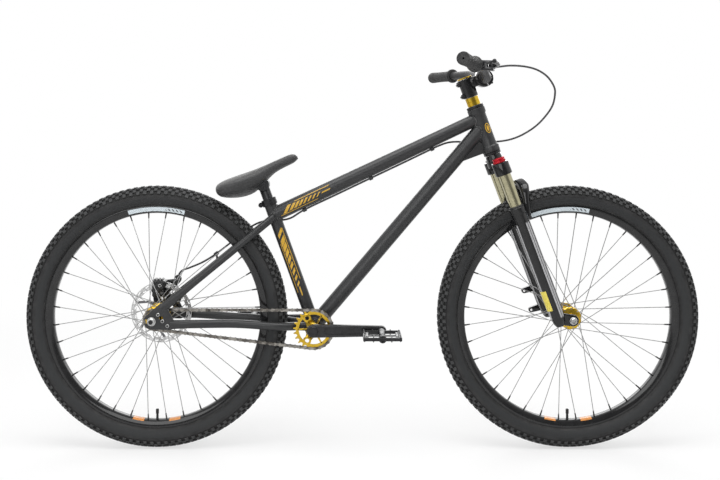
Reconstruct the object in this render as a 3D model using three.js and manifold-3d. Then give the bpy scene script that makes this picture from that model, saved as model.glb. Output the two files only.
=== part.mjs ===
// A dirt jump bicycle with a steel frame, a suspension fork, one cable disc brake and a single speed chain.
// Millimetres, +Z up, +X forward, +Y to the rider's left.
// The origin is on the ground, midway between the axles.
import * as THREE from "three";
import { mergeVertices } from "three/addons/utils/BufferGeometryUtils.js";
import Module from "manifold-3d";

const wasm = await Module();
wasm.setup();

// Clearances that every piece uses
const seatGap = 0.3;
const runningGap = 0.8;
const cutOverrun = 6;
const weldDistance = 0.0005;

// Wheels
const wheelbase = 1058;
const rimOuterRadius = 285.5;
const rimBedDepth = 7.5;
const rimBedRadius = rimOuterRadius - rimBedDepth;
const rimDepth = 19.5;
const rimInnerRadius = rimOuterRadius - rimDepth;
const tyreStand = 53.1;
const tyreRadius = rimOuterRadius + tyreStand;
const tyreSectionRadius = 28.5;
const tyreWall = 4;
const wheelSides = 30;
const rimHalfWidth = 15;
const rimInnerHalfWidth = 8;
const rimFlange = 2.4;
const spokesPerSide = 18;
const spokeRadius = 1;
const spokeCrossTurn = THREE.MathUtils.degToRad(60);
const spokeRimOffset = 2.5;
const spokeFlangeOffset = 1.35;
const flangeHalfThickness = 2.4;
const flangeRim = 3.5;
const valveRadius = 3;
const valveLength = 34;
const hubSides = 12;
const axleRadius = 5;

// Front hub
const frontFlangeRadius = 29;
const frontFlangeY = 31;
const frontShellRadius = 15;
const frontHubHalfWidth = 41;
const frontHubEndRadius = 13;
const frontDropoutHalfWidth = 50;

// Rear hub, brake disc and cog
const rearFlangeRadius = 30;
const rearFlangeY = 27;
const rearShellRadius = 18;
const rearHubEndRadius = 17;
const rearHubRightEnd = 38;
const rearHubLeftEnd = 56;
const rearDropoutHalfWidth = 67.5;
const discRadius = 80;
const discBandWidth = 14;
const discThickness = 2;
const discY = 51;
const discHubRadius = 23;
const discArmHalfWidth = 3.2;
const discArmTurn = THREE.MathUtils.degToRad(38);
const discArms = 6;
const discSides = 20;
const discHoles = 8;
const discHoleRadius = 2.6;
const discHoleShares = [0.36, 0.64];
const discMountRadius = 21;

// Drive
const chainPitch = 12.7;
const ringTeeth = 24;
const cogTeeth = 12;
const chainRoom = 67;
const chainReach = 2 * (tyreRadius + chainRoom) + ((ringTeeth + cogTeeth) / 2) * chainPitch;
const chainLinks = 2 * Math.round(chainReach / (2 * chainPitch));
const bottomBracketDrop = 24.6;
const chainlineY = 48;
const toothHalfWidth = 1;
const rootDepth = 4.8;
const toothHeight = 4.1;
const innerPlateY = 1.6;
const innerPlateOuterY = 2.6;
const outerPlateY = 2.5;
const outerPlateOuterY = 3.7;
const plateEndReach = 3.9;
const rollerReach = 3.2;
const ringBandWidth = 6.5;
const ringBossRadius = 15;
const ringArmHalfWidth = 4.2;
const ringSpokeHalfWidth = 2.4;
const ringEyeCircle = 34;
const ringEyeRadius = 7;
const ringEyeHole = 4.2;
const ringInnerSides = 18;
const seatedTolerance = 0.01;
const cogBossRadius = 17.5;
const cogBossLength = 5;

// Cranks and pedals
const crankLength = 170;
const crankEyeRadius = 17;
const crankPedalEyeRadius = 13.5;
const crankInnerY = 58.5;
const crankThickness = 15;
const crankPocketDepth = 3;
const crankPocketInset = 5.5;
const spindleRadius = 12;
const pedalAxleRadius = 6;
const pedalLength = 94;
const pedalWidth = 88;
const pedalThickness = 17;
const pedalRailWidth = 7;
const pedalBarrelRadius = 10.5;
const pedalBridgeWidth = 9;
const pedalStandOff = 4;
const pedalEdgeDrop = 2.5;

// Frame
const seatAngle = THREE.MathUtils.degToRad(70);
const headAngle = THREE.MathUtils.degToRad(69.5);
const seatTubeLength = 345;
const seatTubeRadius = 15.9;
const seatTubeWall = 2;
const postBoreDepth = 190;
const topTubeDrop = 41;
const topTubeAtSeat = seatTubeLength - topTubeDrop;
const topTubeAtHead = 558;
const topTubeSeatRadius = 19;
const topTubeHeadRadius = 16.5;
const downTubeAtHead = 533;
const downTubeRadius = 19;
const tubeSides = 12;
const shellRadius = 21;
const shellHalfWidth = 36.5;
const cupRadius = 22;
const cupWidth = 7;
const headTubeLower = 466;
const headTubeLength = 118;
const headTubeRadius = 20;
const headTubeEndRadius = 23;
const headTubeEndBand = 14;
const headTubeWall = 3.2;
const gussetLength = 62;
const gussetHalfWidth = 9;
const gussetFoot = 70;
const chainstayRadius = 10.5;
const chainstayRise = 13;
const chainstayInnerY = 27;
const seatstayRadius = 9.3;
const seatstayTopDrop = 4;
const staySides = 8;
const dropoutThickness = 6;
const dropoutEyeRadius = 20;
const dropoutLowerX = 46;
const dropoutLowerDrop = 8;
const dropoutLowerRadius = 13;
const dropoutUpperX = 26;
const dropoutUpperRise = 32;
const dropoutUpperRadius = 13;
const dropoutWindowRadius = 5.5;
const slotTaper = 0.03;
const axleNutRadius = 11;
const axleNutLength = 10;
const nutSides = 6;
const axleConeRadius = 8.5;
const axleConeLength = 6;
const collarRadius = 19.5;
const collarHeight = 15;
const collarLip = 3;
const collarBossRadius = 6.5;
const collarBossHalfWidth = 9;
const collarSlotWidth = 3;

// Fork: heights are along the steering axis, measured from the foot of the axle's offset
const forkOffset = 34;
const legHalfSpan = 64;
const stanchionRadius = 16;
const legRadius = 19.7;
const legTopRadius = 20.8;
const legTopBand = 14;
const legTop = 317;
const legFootRadius = 15;
const legBoreBottom = 118;
const legFoot = -18;
const legFootTop = 36;
const legTopChamfer = 2.4;
const stanchionBottom = 212;
const forkTravel = 80;
const crownLower = 405;
const crownSocketTop = 437;
const crownSocketRadius = 21.5;
const crownTop = 457.7;
const crownMiddleLower = 427;
const crownMiddleRadius = 23;
const crownRaceRadius = 19;
const crownWebHalfDepth = 17;
const steererRadius = 14.3;
const steererWall = 2.2;
const knobRadius = 15.5;
const knobHeight = 12;
const knobRibs = 6;
const knobRibDepth = 1.2;
const archForward = 38;
const archRise = 64;
const archHalfHeight = 9;
const archHalfDepth = 6;
const archShoulderY = 46;
const archShoulderDrop = 14;
const brakeTabReach = 20;
const brakeTabRadius = 7;
const brakeTabHalfWidth = 6;
const brakeTabUpper = 84;
const brakeTabLower = 30;
const headsetCupHeight = 8;
const headsetCupRadius = 22.4;

// Stem, bar and controls
const spacerRadius = 17.2;
const spacerHeight = 23;
const stemLower = 616;
const stemClampHeight = 49;
const stemClampRadius = 19.5;
const stemReach = 46;
const barAlong = 650;
const barClampRadius = 15.9;
const barClampHalfWidth = 30;
const barRadius = 11.1;
const barHalfWidth = 345;
const stemFaceHalfWidth = 23;
const stemFaceRadius = 23;
const stemNeckHalfHeight = 14;
const stemNeckHalfWidth = 17;
const stemBossRadius = 5.5;
const steererCapHeight = 4;
const barBendStartY = 42;
const barRiseY = 120;
const barSweepBack = 82;
const barRise = 55;
const barRiseShare = 0.42;
const barBackShare = 0.16;
const gripLength = 135;
const gripRadius = 15.4;
const gripWaistRadius = 14.2;
const gripFlangeRadius = 20;
const gripFlangeWidth = 5;
const gripEnd = 4;
const leverClampOffset = 12;
const leverClampWidth = 13;
const leverClampRadius = 17;
const leverPerchReach = 34;
const leverPerchHalfWidth = 8;
const leverPerchHalfHeight = 7;
const leverPivotReach = 38;
const leverPivotRadius = 8;
const leverBladeLength = 118;
const leverBladeHalfHeight = 5;
const leverBladeHalfThickness = 5;
const leverBladeBow = 10;
const leverTipRadius = 8;
const leverPlaneTilt = THREE.MathUtils.degToRad(24);
const leverHookReach = 15;
const leverBarrelLength = 14;
const leverBarrelRadius = 6;
const leverRestTurn = THREE.MathUtils.degToRad(9);

// Brake
const caliperRise = 69;
const caliperBack = 4;
const caliperLength = 44;
const caliperHeight = 34;
const caliperInnerY = 38;
const caliperOuterY = 70;
const caliperCorner = 6;
const caliperEarRadius = 4.4;
const caliperEarInnerY = 60;
const padSlotHalfWidth = 2.6;
const caliperArmReach = 38;
const caliperArmEye = 11;
const caliperArmTip = 5;
const caliperArmThickness = 4;
const bracketThickness = 6;
const bracketRadius = 8;
const cableRadius = 2.5;
const cableUnit = 10;
const cableSides = 6;
const cableSteps = 46;
const cableGuideLength = 10;
const cableGuideWall = 1.8;

// Saddle and post
const postRadius = 13.6;
const postExposed = 34;
const postInserted = 110;
const saddleLength = 226;
const saddleTilt = THREE.MathUtils.degToRad(21);
const saddleHalfWidth = 66;
const saddleNoseAhead = 88.7;
const saddleNoseAbove = 72.7;
const clampLength = 46;
const clampRadius = 17;
const clampHalfWidth = 17;

// The materials' colours
const black = new THREE.Color(0x17181a);
const tyreBlack = new THREE.Color(0x26272a);
const gold = new THREE.Color(0xc98a1c);
const champagne = new THREE.Color(0xa8997c);
const red = new THREE.Color(0xb3202a);
const steel = new THREE.Color(0xa9abad);
const darkSteel = new THREE.Color(0x55534f);

function finish(colour, roughness, metalness) {
  return new THREE.MeshStandardMaterial({ color: colour, roughness, metalness });
}

// Solids and booleans

function signedVolume(points, index) {
  const a = new THREE.Vector3();
  const b = new THREE.Vector3();
  const c = new THREE.Vector3();
  let total = 0;
  for (let i = 0; i < index.length; i += 3) {
    a.fromArray(points, index[i] * 3);
    b.fromArray(points, index[i + 1] * 3);
    c.fromArray(points, index[i + 2] * 3);
    total += a.dot(b.cross(c));
  }
  return total;
}

function solid(geometry) {
  const bare = geometry.clone();
  bare.deleteAttribute("normal");
  bare.deleteAttribute("uv");
  const welded = mergeVertices(bare, weldDistance);
  const points = welded.attributes.position.array;
  const index = [];
  for (let i = 0; i < welded.index.count; i += 3) {
    const [a, b, c] = welded.index.array.slice(i, i + 3);
    if (a !== b && b !== c && c !== a) index.push(a, b, c);
  }
  if (signedVolume(points, index) < 0) index.reverse();
  return new wasm.Manifold(
    new wasm.Mesh({
      numProp: 3,
      vertProperties: new Float32Array(points),
      triVerts: new Uint32Array(index),
    }),
  );
}

function surface(body) {
  const mesh = body.getMesh();
  const geometry = new THREE.BufferGeometry();
  geometry.setAttribute("position", new THREE.BufferAttribute(mesh.vertProperties, 3));
  geometry.setIndex(new THREE.BufferAttribute(mesh.triVerts, 1));
  geometry.computeVertexNormals();
  return geometry;
}

function joined(parts) {
  return parts.reduce((whole, part) => whole.add(part));
}

function without(body, cutters) {
  return cutters.reduce((whole, cutter) => whole.subtract(cutter), body);
}

// Basic forms

function vector(x, y, z) {
  return new THREE.Vector3(x, y, z);
}

function polygon(radiusX, radiusY, sides, turn = 0) {
  const points = [];
  for (let i = 0; i < sides; i += 1) {
    const angle = turn + (i * 2 * Math.PI) / sides;
    points.push(new THREE.Vector2(radiusX * Math.cos(angle), radiusY * Math.sin(angle)));
  }
  return new THREE.Shape(points);
}

// A revolve about Y. The profile is a list of [radius, y].
function revolve(profile, sides, start = 0) {
  const points = profile.map(([radius, y]) => new THREE.Vector2(radius, y));
  return new THREE.LatheGeometry(points, sides, start, 2 * Math.PI);
}

// A closed ring's profile, revolved about Y.
function revolveRing(profile, sides, start = 0) {
  return revolve([...profile, profile[0]], sides, start);
}

// The radius whose flats clear a round piece of a given radius by the seat gap.
function boreRound(radius, sides = tubeSides) {
  return (radius + seatGap) / Math.cos(Math.PI / sides);
}

// A round bar from one point to another.
function rod(from, to, radius, sides = tubeSides, endRadius = radius) {
  const along = to.clone().sub(from);
  const geometry = new THREE.CylinderGeometry(endRadius, radius, along.length(), sides);
  geometry.translate(0, along.length() / 2, 0);
  geometry.applyQuaternion(new THREE.Quaternion().setFromUnitVectors(vector(0, 1, 0), along.normalize()));
  geometry.translate(from.x, from.y, from.z);
  return geometry;
}

// A cylinder along Y between two values of y.
function crossBar(x, z, low, high, radius, sides = tubeSides) {
  return rod(vector(x, low, z), vector(x, high, z), radius, sides);
}

function box(lowX, highX, lowY, highY, lowZ, highZ) {
  const geometry = new THREE.BoxGeometry(highX - lowX, highY - lowY, highZ - lowZ);
  geometry.translate((lowX + highX) / 2, (lowY + highY) / 2, (lowZ + highZ) / 2);
  return geometry;
}

function sweep(curve, section, steps) {
  return new THREE.ExtrudeGeometry(section, { steps, bevelEnabled: false, extrudePath: curve });
}

// An upright plate: a shape in X and Z, from one value of y to another.
function sidePlate(shape, low, high) {
  const geometry = new THREE.ExtrudeGeometry(shape, { depth: high - low, bevelEnabled: false });
  geometry.rotateX(Math.PI / 2);
  geometry.translate(0, high, 0);
  return geometry;
}

// The outline round two circles of different sizes, in counts of steps for each end.
function linkShape(from, fromRadius, to, toRadius, steps) {
  const along = to.clone().sub(from);
  const heading = Math.atan2(along.y, along.x);
  const lean = Math.acos((fromRadius - toRadius) / along.length());
  const points = [];
  for (let i = 0; i <= steps; i += 1) {
    const angle = heading + lean + (i / steps) * 2 * (Math.PI - lean);
    points.push(flat(from.x + fromRadius * Math.cos(angle), from.y + fromRadius * Math.sin(angle)));
  }
  for (let i = 0; i <= steps; i += 1) {
    const angle = heading - lean + (i / steps) * 2 * lean;
    points.push(flat(to.x + toRadius * Math.cos(angle), to.y + toRadius * Math.sin(angle)));
  }
  return new THREE.Shape(points);
}

function flat(x, z) {
  return new THREE.Vector2(x, z);
}

const bike = new THREE.Group();

function add(parent, name, geometry, material) {
  const mesh = new THREE.Mesh(geometry, material);
  mesh.name = name;
  parent.add(mesh);
  return mesh;
}

// Places worked out from the driving sizes
const axleHeight = tyreRadius * Math.cos(Math.PI / wheelSides);
const rearAxle = vector(-wheelbase / 2, 0, axleHeight);
const frontAxle = vector(wheelbase / 2, 0, axleHeight);
const ringPitchRadius = chainPitch / (2 * Math.sin(Math.PI / ringTeeth));
const cogPitchRadius = chainPitch / (2 * Math.sin(Math.PI / cogTeeth));
const ringArcRadius = (chainPitch * ringTeeth) / (2 * Math.PI);
const cogArcRadius = (chainPitch * cogTeeth) / (2 * Math.PI);

// The distance between the two sprockets that a chain of so many links closes on.
function chainCentreDistance() {
  let distance = ((chainLinks - (ringTeeth + cogTeeth) / 2) * chainPitch) / 2;
  const wanted = chainLinks * chainPitch;
  for (let i = 0; i < 30; i += 1) {
    const lean = Math.asin((ringPitchRadius - cogPitchRadius) / distance);
    const ringArc = ringArcRadius * (Math.PI + 2 * lean);
    const cogArc = cogArcRadius * (Math.PI - 2 * lean);
    const length = 2 * distance * Math.cos(lean) + ringArc + cogArc;
    distance += (wanted - length) / 2;
  }
  return distance;
}

const chainstayLength = chainCentreDistance();
const crankCentre = vector(
  rearAxle.x + Math.sqrt(chainstayLength ** 2 - bottomBracketDrop ** 2),
  0,
  axleHeight - bottomBracketDrop,
);
const seatDirection = vector(-Math.cos(seatAngle), 0, Math.sin(seatAngle));
const steerDirection = vector(-Math.cos(headAngle), 0, Math.sin(headAngle));
const steerForward = vector(Math.sin(headAngle), 0, Math.cos(headAngle));
const steerFoot = frontAxle.clone().addScaledVector(steerForward, -forkOffset);

function onSeatTube(distance) {
  return crankCentre.clone().addScaledVector(seatDirection, distance);
}

function onSteerAxis(height) {
  return steerFoot.clone().addScaledVector(steerDirection, height);
}

// A point given by its distance ahead of the steering axis, its y and its height along the axis.
function inSteering(place) {
  return onSteerAxis(place.z).addScaledVector(steerForward, place.x).setY(place.y);
}

// A group whose local Z is the steering axis and local X points forward.
function steeringGroup() {
  const group = new THREE.Group();
  group.position.copy(steerFoot);
  group.rotation.y = headAngle - Math.PI / 2;
  bike.add(group);
  return group;
}

function toBikeFromSteering(geometry) {
  geometry.rotateY(headAngle - Math.PI / 2);
  geometry.translate(steerFoot.x, steerFoot.y, steerFoot.z);
  return geometry;
}

// Frame

const headTubeTop = headTubeLower + headTubeLength;

function headTubeProfile(grow) {
  const shoulder = headTubeEndBand + headTubeRadius * (1 - headTubeRadius / headTubeEndRadius);
  return [
    [headTubeEndRadius + grow, headTubeLower],
    [headTubeEndRadius + grow, headTubeLower + headTubeEndBand],
    [headTubeRadius + grow, headTubeLower + shoulder],
    [headTubeRadius + grow, headTubeTop - shoulder],
    [headTubeEndRadius + grow, headTubeTop - headTubeEndBand],
    [headTubeEndRadius + grow, headTubeTop],
  ];
}

const headTubeBore = headTubeRadius - headTubeWall;

function makeHeadTube(group, material) {
  const profile = [[headTubeBore, headTubeLower], ...headTubeProfile(0), [headTubeBore, headTubeTop]];
  add(group, "head_tube", revolveRing(profile, tubeSides).rotateX(Math.PI / 2), material);
}

// The head tube's outer form, wider by the gap, as a cutter in the bike's own frame.
function headTubeCutter() {
  const profile = headTubeProfile(seatGap);
  const closed = [[0, headTubeLower], ...profile, [0, headTubeTop]];
  return solid(toBikeFromSteering(revolve(closed, tubeSides).rotateX(Math.PI / 2)));
}

function seatTubeCutter(grow) {
  return solid(rod(onSeatTube(0), onSeatTube(seatTubeLength), seatTubeRadius + grow));
}

function shellCutter(grow) {
  return solid(crossBar(crankCentre.x, crankCentre.z, -shellHalfWidth, shellHalfWidth, shellRadius + grow));
}

const topTubeRear = onSeatTube(topTubeAtSeat);
const topTubeFront = onSteerAxis(topTubeAtHead);
const downTubeFront = onSteerAxis(downTubeAtHead);

function topTubeRod(grow) {
  return solid(
    rod(topTubeRear, topTubeFront, topTubeSeatRadius + grow, tubeSides, topTubeHeadRadius + grow),
  );
}

function downTubeRod(grow) {
  return solid(rod(crankCentre, downTubeFront, downTubeRadius + grow));
}

function makeMainTubes(material) {
  const headCutter = headTubeCutter();
  const guides = cableGuides();
  const topTube = without(topTubeRod(0), [headCutter, seatTubeCutter(seatGap)]);
  const guided = joined([topTube, ...guides.map((guide) => guide.outer)]);
  const bored = without(guided, guides.map((guide) => guide.bore));
  add(bike, "top_tube", surface(bored), material);
  const downCutters = [headCutter, shellCutter(seatGap), seatTubeCutter(seatGap), topTubeRod(seatGap)];
  const downTube = without(downTubeRod(0), downCutters);
  add(bike, "down_tube", surface(largest(downTube)), material);
  const seatBore = solid(
    rod(onSeatTube(seatTubeLength - postBoreDepth), onSeatTube(seatTubeLength + cutOverrun),
      seatTubeRadius - seatTubeWall),
  );
  const seatTube = without(seatTubeCutter(0), [seatBore, shellCutter(seatGap)]);
  add(bike, "seat_tube", surface(largest(seatTube)), material);
  const shellBore = solid(
    crossBar(crankCentre.x, crankCentre.z, -shellHalfWidth - cutOverrun, shellHalfWidth + cutOverrun,
      spindleRadius + 2 * runningGap),
  );
  add(bike, "bottom_bracket_shell", surface(shellCutter(0).subtract(shellBore)), material);
}

// The largest of the bodies that a cut leaves.
function largest(body) {
  const pieces = body.decompose();
  return pieces.reduce((best, piece) => (piece.volume() > best.volume() ? piece : best));
}

// The small reinforcement under the down tube, behind the head tube.
function makeGusset(material) {
  const foot = downTubeFront.clone().addScaledVector(downDirection(), -gussetFoot - gussetLength);
  const heel = onSteerAxis(headTubeLower + seatGap);
  const inner = downTubeFront.clone().addScaledVector(downDirection(), -gussetFoot / 2);
  const shape = new THREE.Shape([flat(foot.x, foot.z), flat(heel.x, heel.z), flat(inner.x, inner.z)]);
  const plate = solid(sidePlate(shape, -gussetHalfWidth, gussetHalfWidth));
  const cupLow = onSteerAxis(headTubeLower - 2 * headsetCupHeight);
  const cupRoom = solid(rod(cupLow, onSteerAxis(headTubeLower), headsetCupRadius + seatGap));
  const cut = without(plate, [headTubeCutter(), cupRoom, downTubeRod(seatGap)]);
  add(bike, "head_gusset", surface(largest(cut)), material);
}

function downDirection() {
  return downTubeFront.clone().sub(crankCentre).normalize();
}

const stayRearX = rearAxle.x + dropoutLowerX;
const dropoutLower = flat(rearAxle.x + dropoutLowerX, rearAxle.z - dropoutLowerDrop);
const dropoutUpper = flat(rearAxle.x + dropoutUpperX, rearAxle.z + dropoutUpperRise);
const dropoutMiddleY = rearDropoutHalfWidth + dropoutThickness / 2;

function chainstayCurve(side) {
  const riseZ = crankCentre.z + chainstayRise;
  const tyreFrontX = rearAxle.x + tyreRadius;
  const wideY = tyreSectionRadius + chainstayRadius + 2 * seatGap + tyreWall;
  const besideCrankX = crankCentre.x - crankLength - 2 * crankPedalEyeRadius;
  const besideDiscX = rearAxle.x + discRadius + chainstayRadius;
  const discClearY = discY + discThickness + chainstayRadius + 2 * runningGap;
  return new THREE.CatmullRomCurve3([
    vector(crankCentre.x, side * (chainstayInnerY - chainstayRadius / 2), crankCentre.z),
    vector(crankCentre.x - 2 * shellRadius, side * chainstayInnerY, crankCentre.z + chainstayRise / 4),
    vector(tyreFrontX - tyreSectionRadius, side * wideY, (crankCentre.z + riseZ) / 2),
    vector(besideCrankX, side * wideY, riseZ),
    vector(besideDiscX, side * discClearY, dropoutLower.y),
    vector(stayRearX, side * dropoutMiddleY, dropoutLower.y),
  ]);
}

function seatstayCurve(side) {
  const top = onSeatTube(topTubeAtSeat - seatstayTopDrop);
  const along = (share) => dropoutUpper.x + (top.x - dropoutUpper.x) * share;
  const up = (share) => dropoutUpper.y + (top.z - dropoutUpper.y) * share;
  const wideY = tyreSectionRadius + seatstayRadius + tyreWall;
  const topShares = [0.5, 0.8];
  return new THREE.CatmullRomCurve3([
    vector(dropoutUpper.x, side * dropoutMiddleY, dropoutUpper.y),
    vector(along(topShares[0]), side * (wideY + dropoutMiddleY) / 2, up(topShares[0])),
    vector(along(topShares[1]), side * wideY, up(topShares[1])),
    vector(top.x, side * (seatTubeRadius + seatstayRadius / 2), top.z),
  ]);
}

function makeStays(material) {
  for (const [side, word] of [[-1, "right"], [1, "left"]]) {
    const seatCutters = [seatTubeCutter(seatGap), topTubeRod(seatGap)];
    const plateCutter = dropoutPlate(side, seatGap);
    const chainstaySection = polygon(chainstayRadius, chainstayRadius, staySides);
    const chainstay = solid(sweep(chainstayCurve(side), chainstaySection, 10));
    const cutChainstay = without(chainstay, [shellCutter(seatGap), plateCutter, downTubeRod(seatGap)]);
    add(bike, `chainstay_${word}`, surface(largest(cutChainstay)), material);
    const seatstay = solid(sweep(seatstayCurve(side), polygon(seatstayRadius, seatstayRadius, staySides), 8));
    const cutSeatstay = without(seatstay, [...seatCutters, plateCutter]);
    add(bike, `seatstay_${word}`, surface(largest(cutSeatstay)), material);
  }
}

// A dropout's plate, wider by a gap when it cuts the stays that meet it.
function dropoutPlate(side, grow) {
  const low = side > 0 ? rearDropoutHalfWidth - grow : -rearDropoutHalfWidth - dropoutThickness - grow;
  const high = low + dropoutThickness + 2 * grow;
  const axle = flat(rearAxle.x, rearAxle.z);
  const eye = dropoutEyeRadius + grow;
  const lowerRadius = dropoutLowerRadius + grow;
  const upperRadius = dropoutUpperRadius + grow;
  const lower = linkShape(axle, eye, dropoutLower, lowerRadius, 3);
  const upper = linkShape(axle, eye, dropoutUpper, upperRadius, 3);
  const brace = linkShape(dropoutLower, lowerRadius, dropoutUpper, upperRadius, 3);
  return joined([lower, upper, brace].map((shape) => solid(sidePlate(shape, low, high))));
}

function makeDropouts(material) {
  const slotRadius = axleRadius + seatGap;
  const slotEnd = flat(rearAxle.x - dropoutEyeRadius - cutOverrun, rearAxle.z);
  const slotShape = linkShape(slotEnd, slotRadius, flat(rearAxle.x, rearAxle.z), slotRadius - slotTaper, 6);
  const reach = rearDropoutHalfWidth + dropoutThickness + cutOverrun;
  const windowX = (dropoutLower.x + dropoutUpper.x + rearAxle.x) / 3;
  const windowZ = (dropoutLower.y + dropoutUpper.y + rearAxle.z) / 3;
  for (const [side, word] of [[-1, "right"], [1, "left"]]) {
    const slot = solid(sidePlate(slotShape, side > 0 ? 0 : -reach, side > 0 ? reach : 0));
    const window = solid(
      crossBar(windowX, windowZ, side > 0 ? 0 : -reach, side > 0 ? reach : 0, dropoutWindowRadius),
    );
    add(bike, `dropout_${word}`, surface(without(dropoutPlate(side, 0), [slot, window])), material);
  }
}

function makeSeatCollar(material) {
  const low = seatTubeLength - collarHeight;
  const high = seatTubeLength + collarLip;
  const outer = solid(rod(onSeatTube(low), onSeatTube(high), collarRadius));
  const bossAt = onSeatTube((low + high) / 2);
  const back = collarRadius + collarBossRadius / 2;
  const bossX = bossAt.x - back * Math.sin(seatAngle);
  const bossZ = bossAt.z - back * Math.cos(seatAngle);
  const boss = solid(crossBar(bossX, bossZ, -collarBossHalfWidth, collarBossHalfWidth, collarBossRadius, 8));
  const boreTop = onSeatTube(seatTubeLength + seatGap);
  const bore = solid(rod(onSeatTube(low - cutOverrun), boreTop, seatTubeRadius + seatGap));
  const postHole = solid(rod(onSeatTube(low), onSeatTube(high + cutOverrun), postRadius + seatGap));
  const slot = solid(
    box(bossX - 2 * collarBossRadius, bossAt.x, -collarSlotWidth / 2, collarSlotWidth / 2,
      bossZ - collarHeight - collarBossRadius, bossZ + collarHeight + collarBossRadius),
  );
  add(bike, "seat_clamp", surface(without(outer.add(boss), [bore, postHole, slot])), material);
}

function makeBearingCups(group, material) {
  const headset = [
    ["headset_lower_cup", headTubeLower - seatGap - headsetCupHeight + seatGap, headTubeLower - seatGap],
    ["headset_upper_cup", headTubeTop + seatGap, headTubeTop + headsetCupHeight],
  ];
  for (const [name, low, high] of headset) {
    const inner = steererRadius + 2 * seatGap;
    const profile = [[inner, low], [headsetCupRadius, low], [headsetCupRadius, high], [inner, high]];
    add(group, name, revolveRing(profile, tubeSides).rotateX(Math.PI / 2), material);
  }
  for (const [side, word] of [[-1, "right"], [1, "left"]]) {
    const low = side * (shellHalfWidth + seatGap);
    const high = side * (shellHalfWidth + cupWidth);
    const inner = spindleRadius + runningGap;
    const profile = [[inner, low], [cupRadius, low], [cupRadius, high], [inner, high]];
    const cup = revolveRing(profile, tubeSides);
    cup.translate(crankCentre.x, crankCentre.y, crankCentre.z);
    add(bike, `bottom_bracket_cup_${word}`, surface(solid(cup)), material);
  }
}

// The rear axle with its cones and nuts, clamped in the dropouts, and the front one in the fork's feet.
function axleProfile(innerFace, outerFace, nutRadius, nutLength) {
  const half = outerFace + seatGap + nutLength;
  const cone = innerFace - seatGap;
  return [
    [0, -half],
    [nutRadius, -half],
    [nutRadius, -outerFace - seatGap],
    [axleRadius, -outerFace - seatGap],
    [axleRadius, -cone],
    [axleConeRadius, -cone],
    [axleConeRadius, -cone + axleConeLength],
    [axleRadius, -cone + axleConeLength],
    [axleRadius, cone - axleConeLength],
    [axleConeRadius, cone - axleConeLength],
    [axleConeRadius, cone],
    [axleRadius, cone],
    [axleRadius, outerFace + seatGap],
    [nutRadius, outerFace + seatGap],
    [nutRadius, half],
    [0, half],
  ];
}

// Drive

// A sprocket's outline: a root flat and a tip for each tooth, with a tooth pointing along +X.
function sprocketShape(teeth, pitchRadius) {
  const root = pitchRadius - rootDepth;
  const tip = pitchRadius + toothHeight;
  const tipShare = 0.07;
  const rootShare = 0.24;
  const points = [];
  for (let i = 0; i < teeth; i += 1) {
    const step = (2 * Math.PI) / teeth;
    const corners = [[-rootShare, root], [-tipShare, tip], [tipShare, tip], [rootShare, root]];
    for (const [share, radius] of corners) {
      const angle = (i + share) * step;
      points.push(new THREE.Vector2(radius * Math.cos(angle), radius * Math.sin(angle)));
    }
  }
  return new THREE.Shape(points);
}

// The chain's pins, from the ring's foremost point underneath to the cog, round it and back over the top.
function chainPins() {
  const heading = Math.atan2(rearAxle.z - crankCentre.z, rearAxle.x - crankCentre.x);
  const lean = Math.asin((ringPitchRadius - cogPitchRadius) / chainstayLength);
  const straight = chainstayLength * Math.cos(lean);
  const ringArc = Math.PI + 2 * lean;
  const cogArc = Math.PI - 2 * lean;
  const ringHalf = (ringArcRadius * ringArc) / 2;
  const total = chainLinks * chainPitch;
  const pins = [];
  for (let i = 0; i < chainLinks; i += 1) {
    const travelled = (i + 0.5) * chainPitch;
    let place;
    const lowerLeave = heading + Math.PI - ringArc / 2;
    const upperLeave = heading - Math.PI + ringArc / 2;
    if (travelled < ringHalf || travelled > total - ringHalf) {
      const along = travelled < ringHalf ? travelled : travelled - total;
      const angle = heading + Math.PI - along / ringArcRadius;
      place = roundPlace(crankCentre, ringPitchRadius, angle);
    } else if (travelled < ringHalf + straight) {
      const from = flat(Math.cos(lowerLeave), Math.sin(lowerLeave));
      place = tangentPlace(from, (travelled - ringHalf) / straight);
    } else if (travelled < ringHalf + straight + cogArcRadius * cogArc) {
      const angle = lowerLeave - (travelled - ringHalf - straight) / cogArcRadius;
      place = roundPlace(rearAxle, cogPitchRadius, angle);
    } else {
      const from = flat(Math.cos(upperLeave), Math.sin(upperLeave));
      place = tangentPlace(from, (total - ringHalf - travelled) / straight);
    }
    pins.push(place);
  }
  return pins;
}

function roundPlace(centre, radius, angle) {
  return flat(centre.x + radius * Math.cos(angle), centre.z + radius * Math.sin(angle));
}

// A point on a straight run, at a share of its length from the ring to the cog.
function tangentPlace(normal, share) {
  const ringPoint = flat(crankCentre.x, crankCentre.z).addScaledVector(normal, ringPitchRadius);
  const cogPoint = flat(rearAxle.x, rearAxle.z).addScaledVector(normal, cogPitchRadius);
  return ringPoint.lerp(cogPoint, share);
}

function plateShape(length) {
  const half = length / 2;
  return new THREE.Shape([
    flat(-half - plateEndReach, 0),
    flat(-half, -plateEndReach),
    flat(half, -plateEndReach),
    flat(half + plateEndReach, 0),
    flat(half, plateEndReach),
    flat(-half, plateEndReach),
  ]);
}

// One inner link: two plates joined by its rollers, with the window between them that a tooth enters.
function innerLink(length) {
  const block = solid(sidePlate(plateShape(length), -innerPlateOuterY, innerPlateOuterY));
  const half = length / 2 - rollerReach;
  const window = solid(box(-half, half, -innerPlateY, innerPlateY, -cutOverrun, cutOverrun));
  return block.subtract(window);
}

function outerLink(length) {
  const plates = [[-outerPlateOuterY, -outerPlateY], [outerPlateY, outerPlateOuterY]];
  return plates.map(([low, high]) => solid(sidePlate(plateShape(length), low, high)));
}

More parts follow.
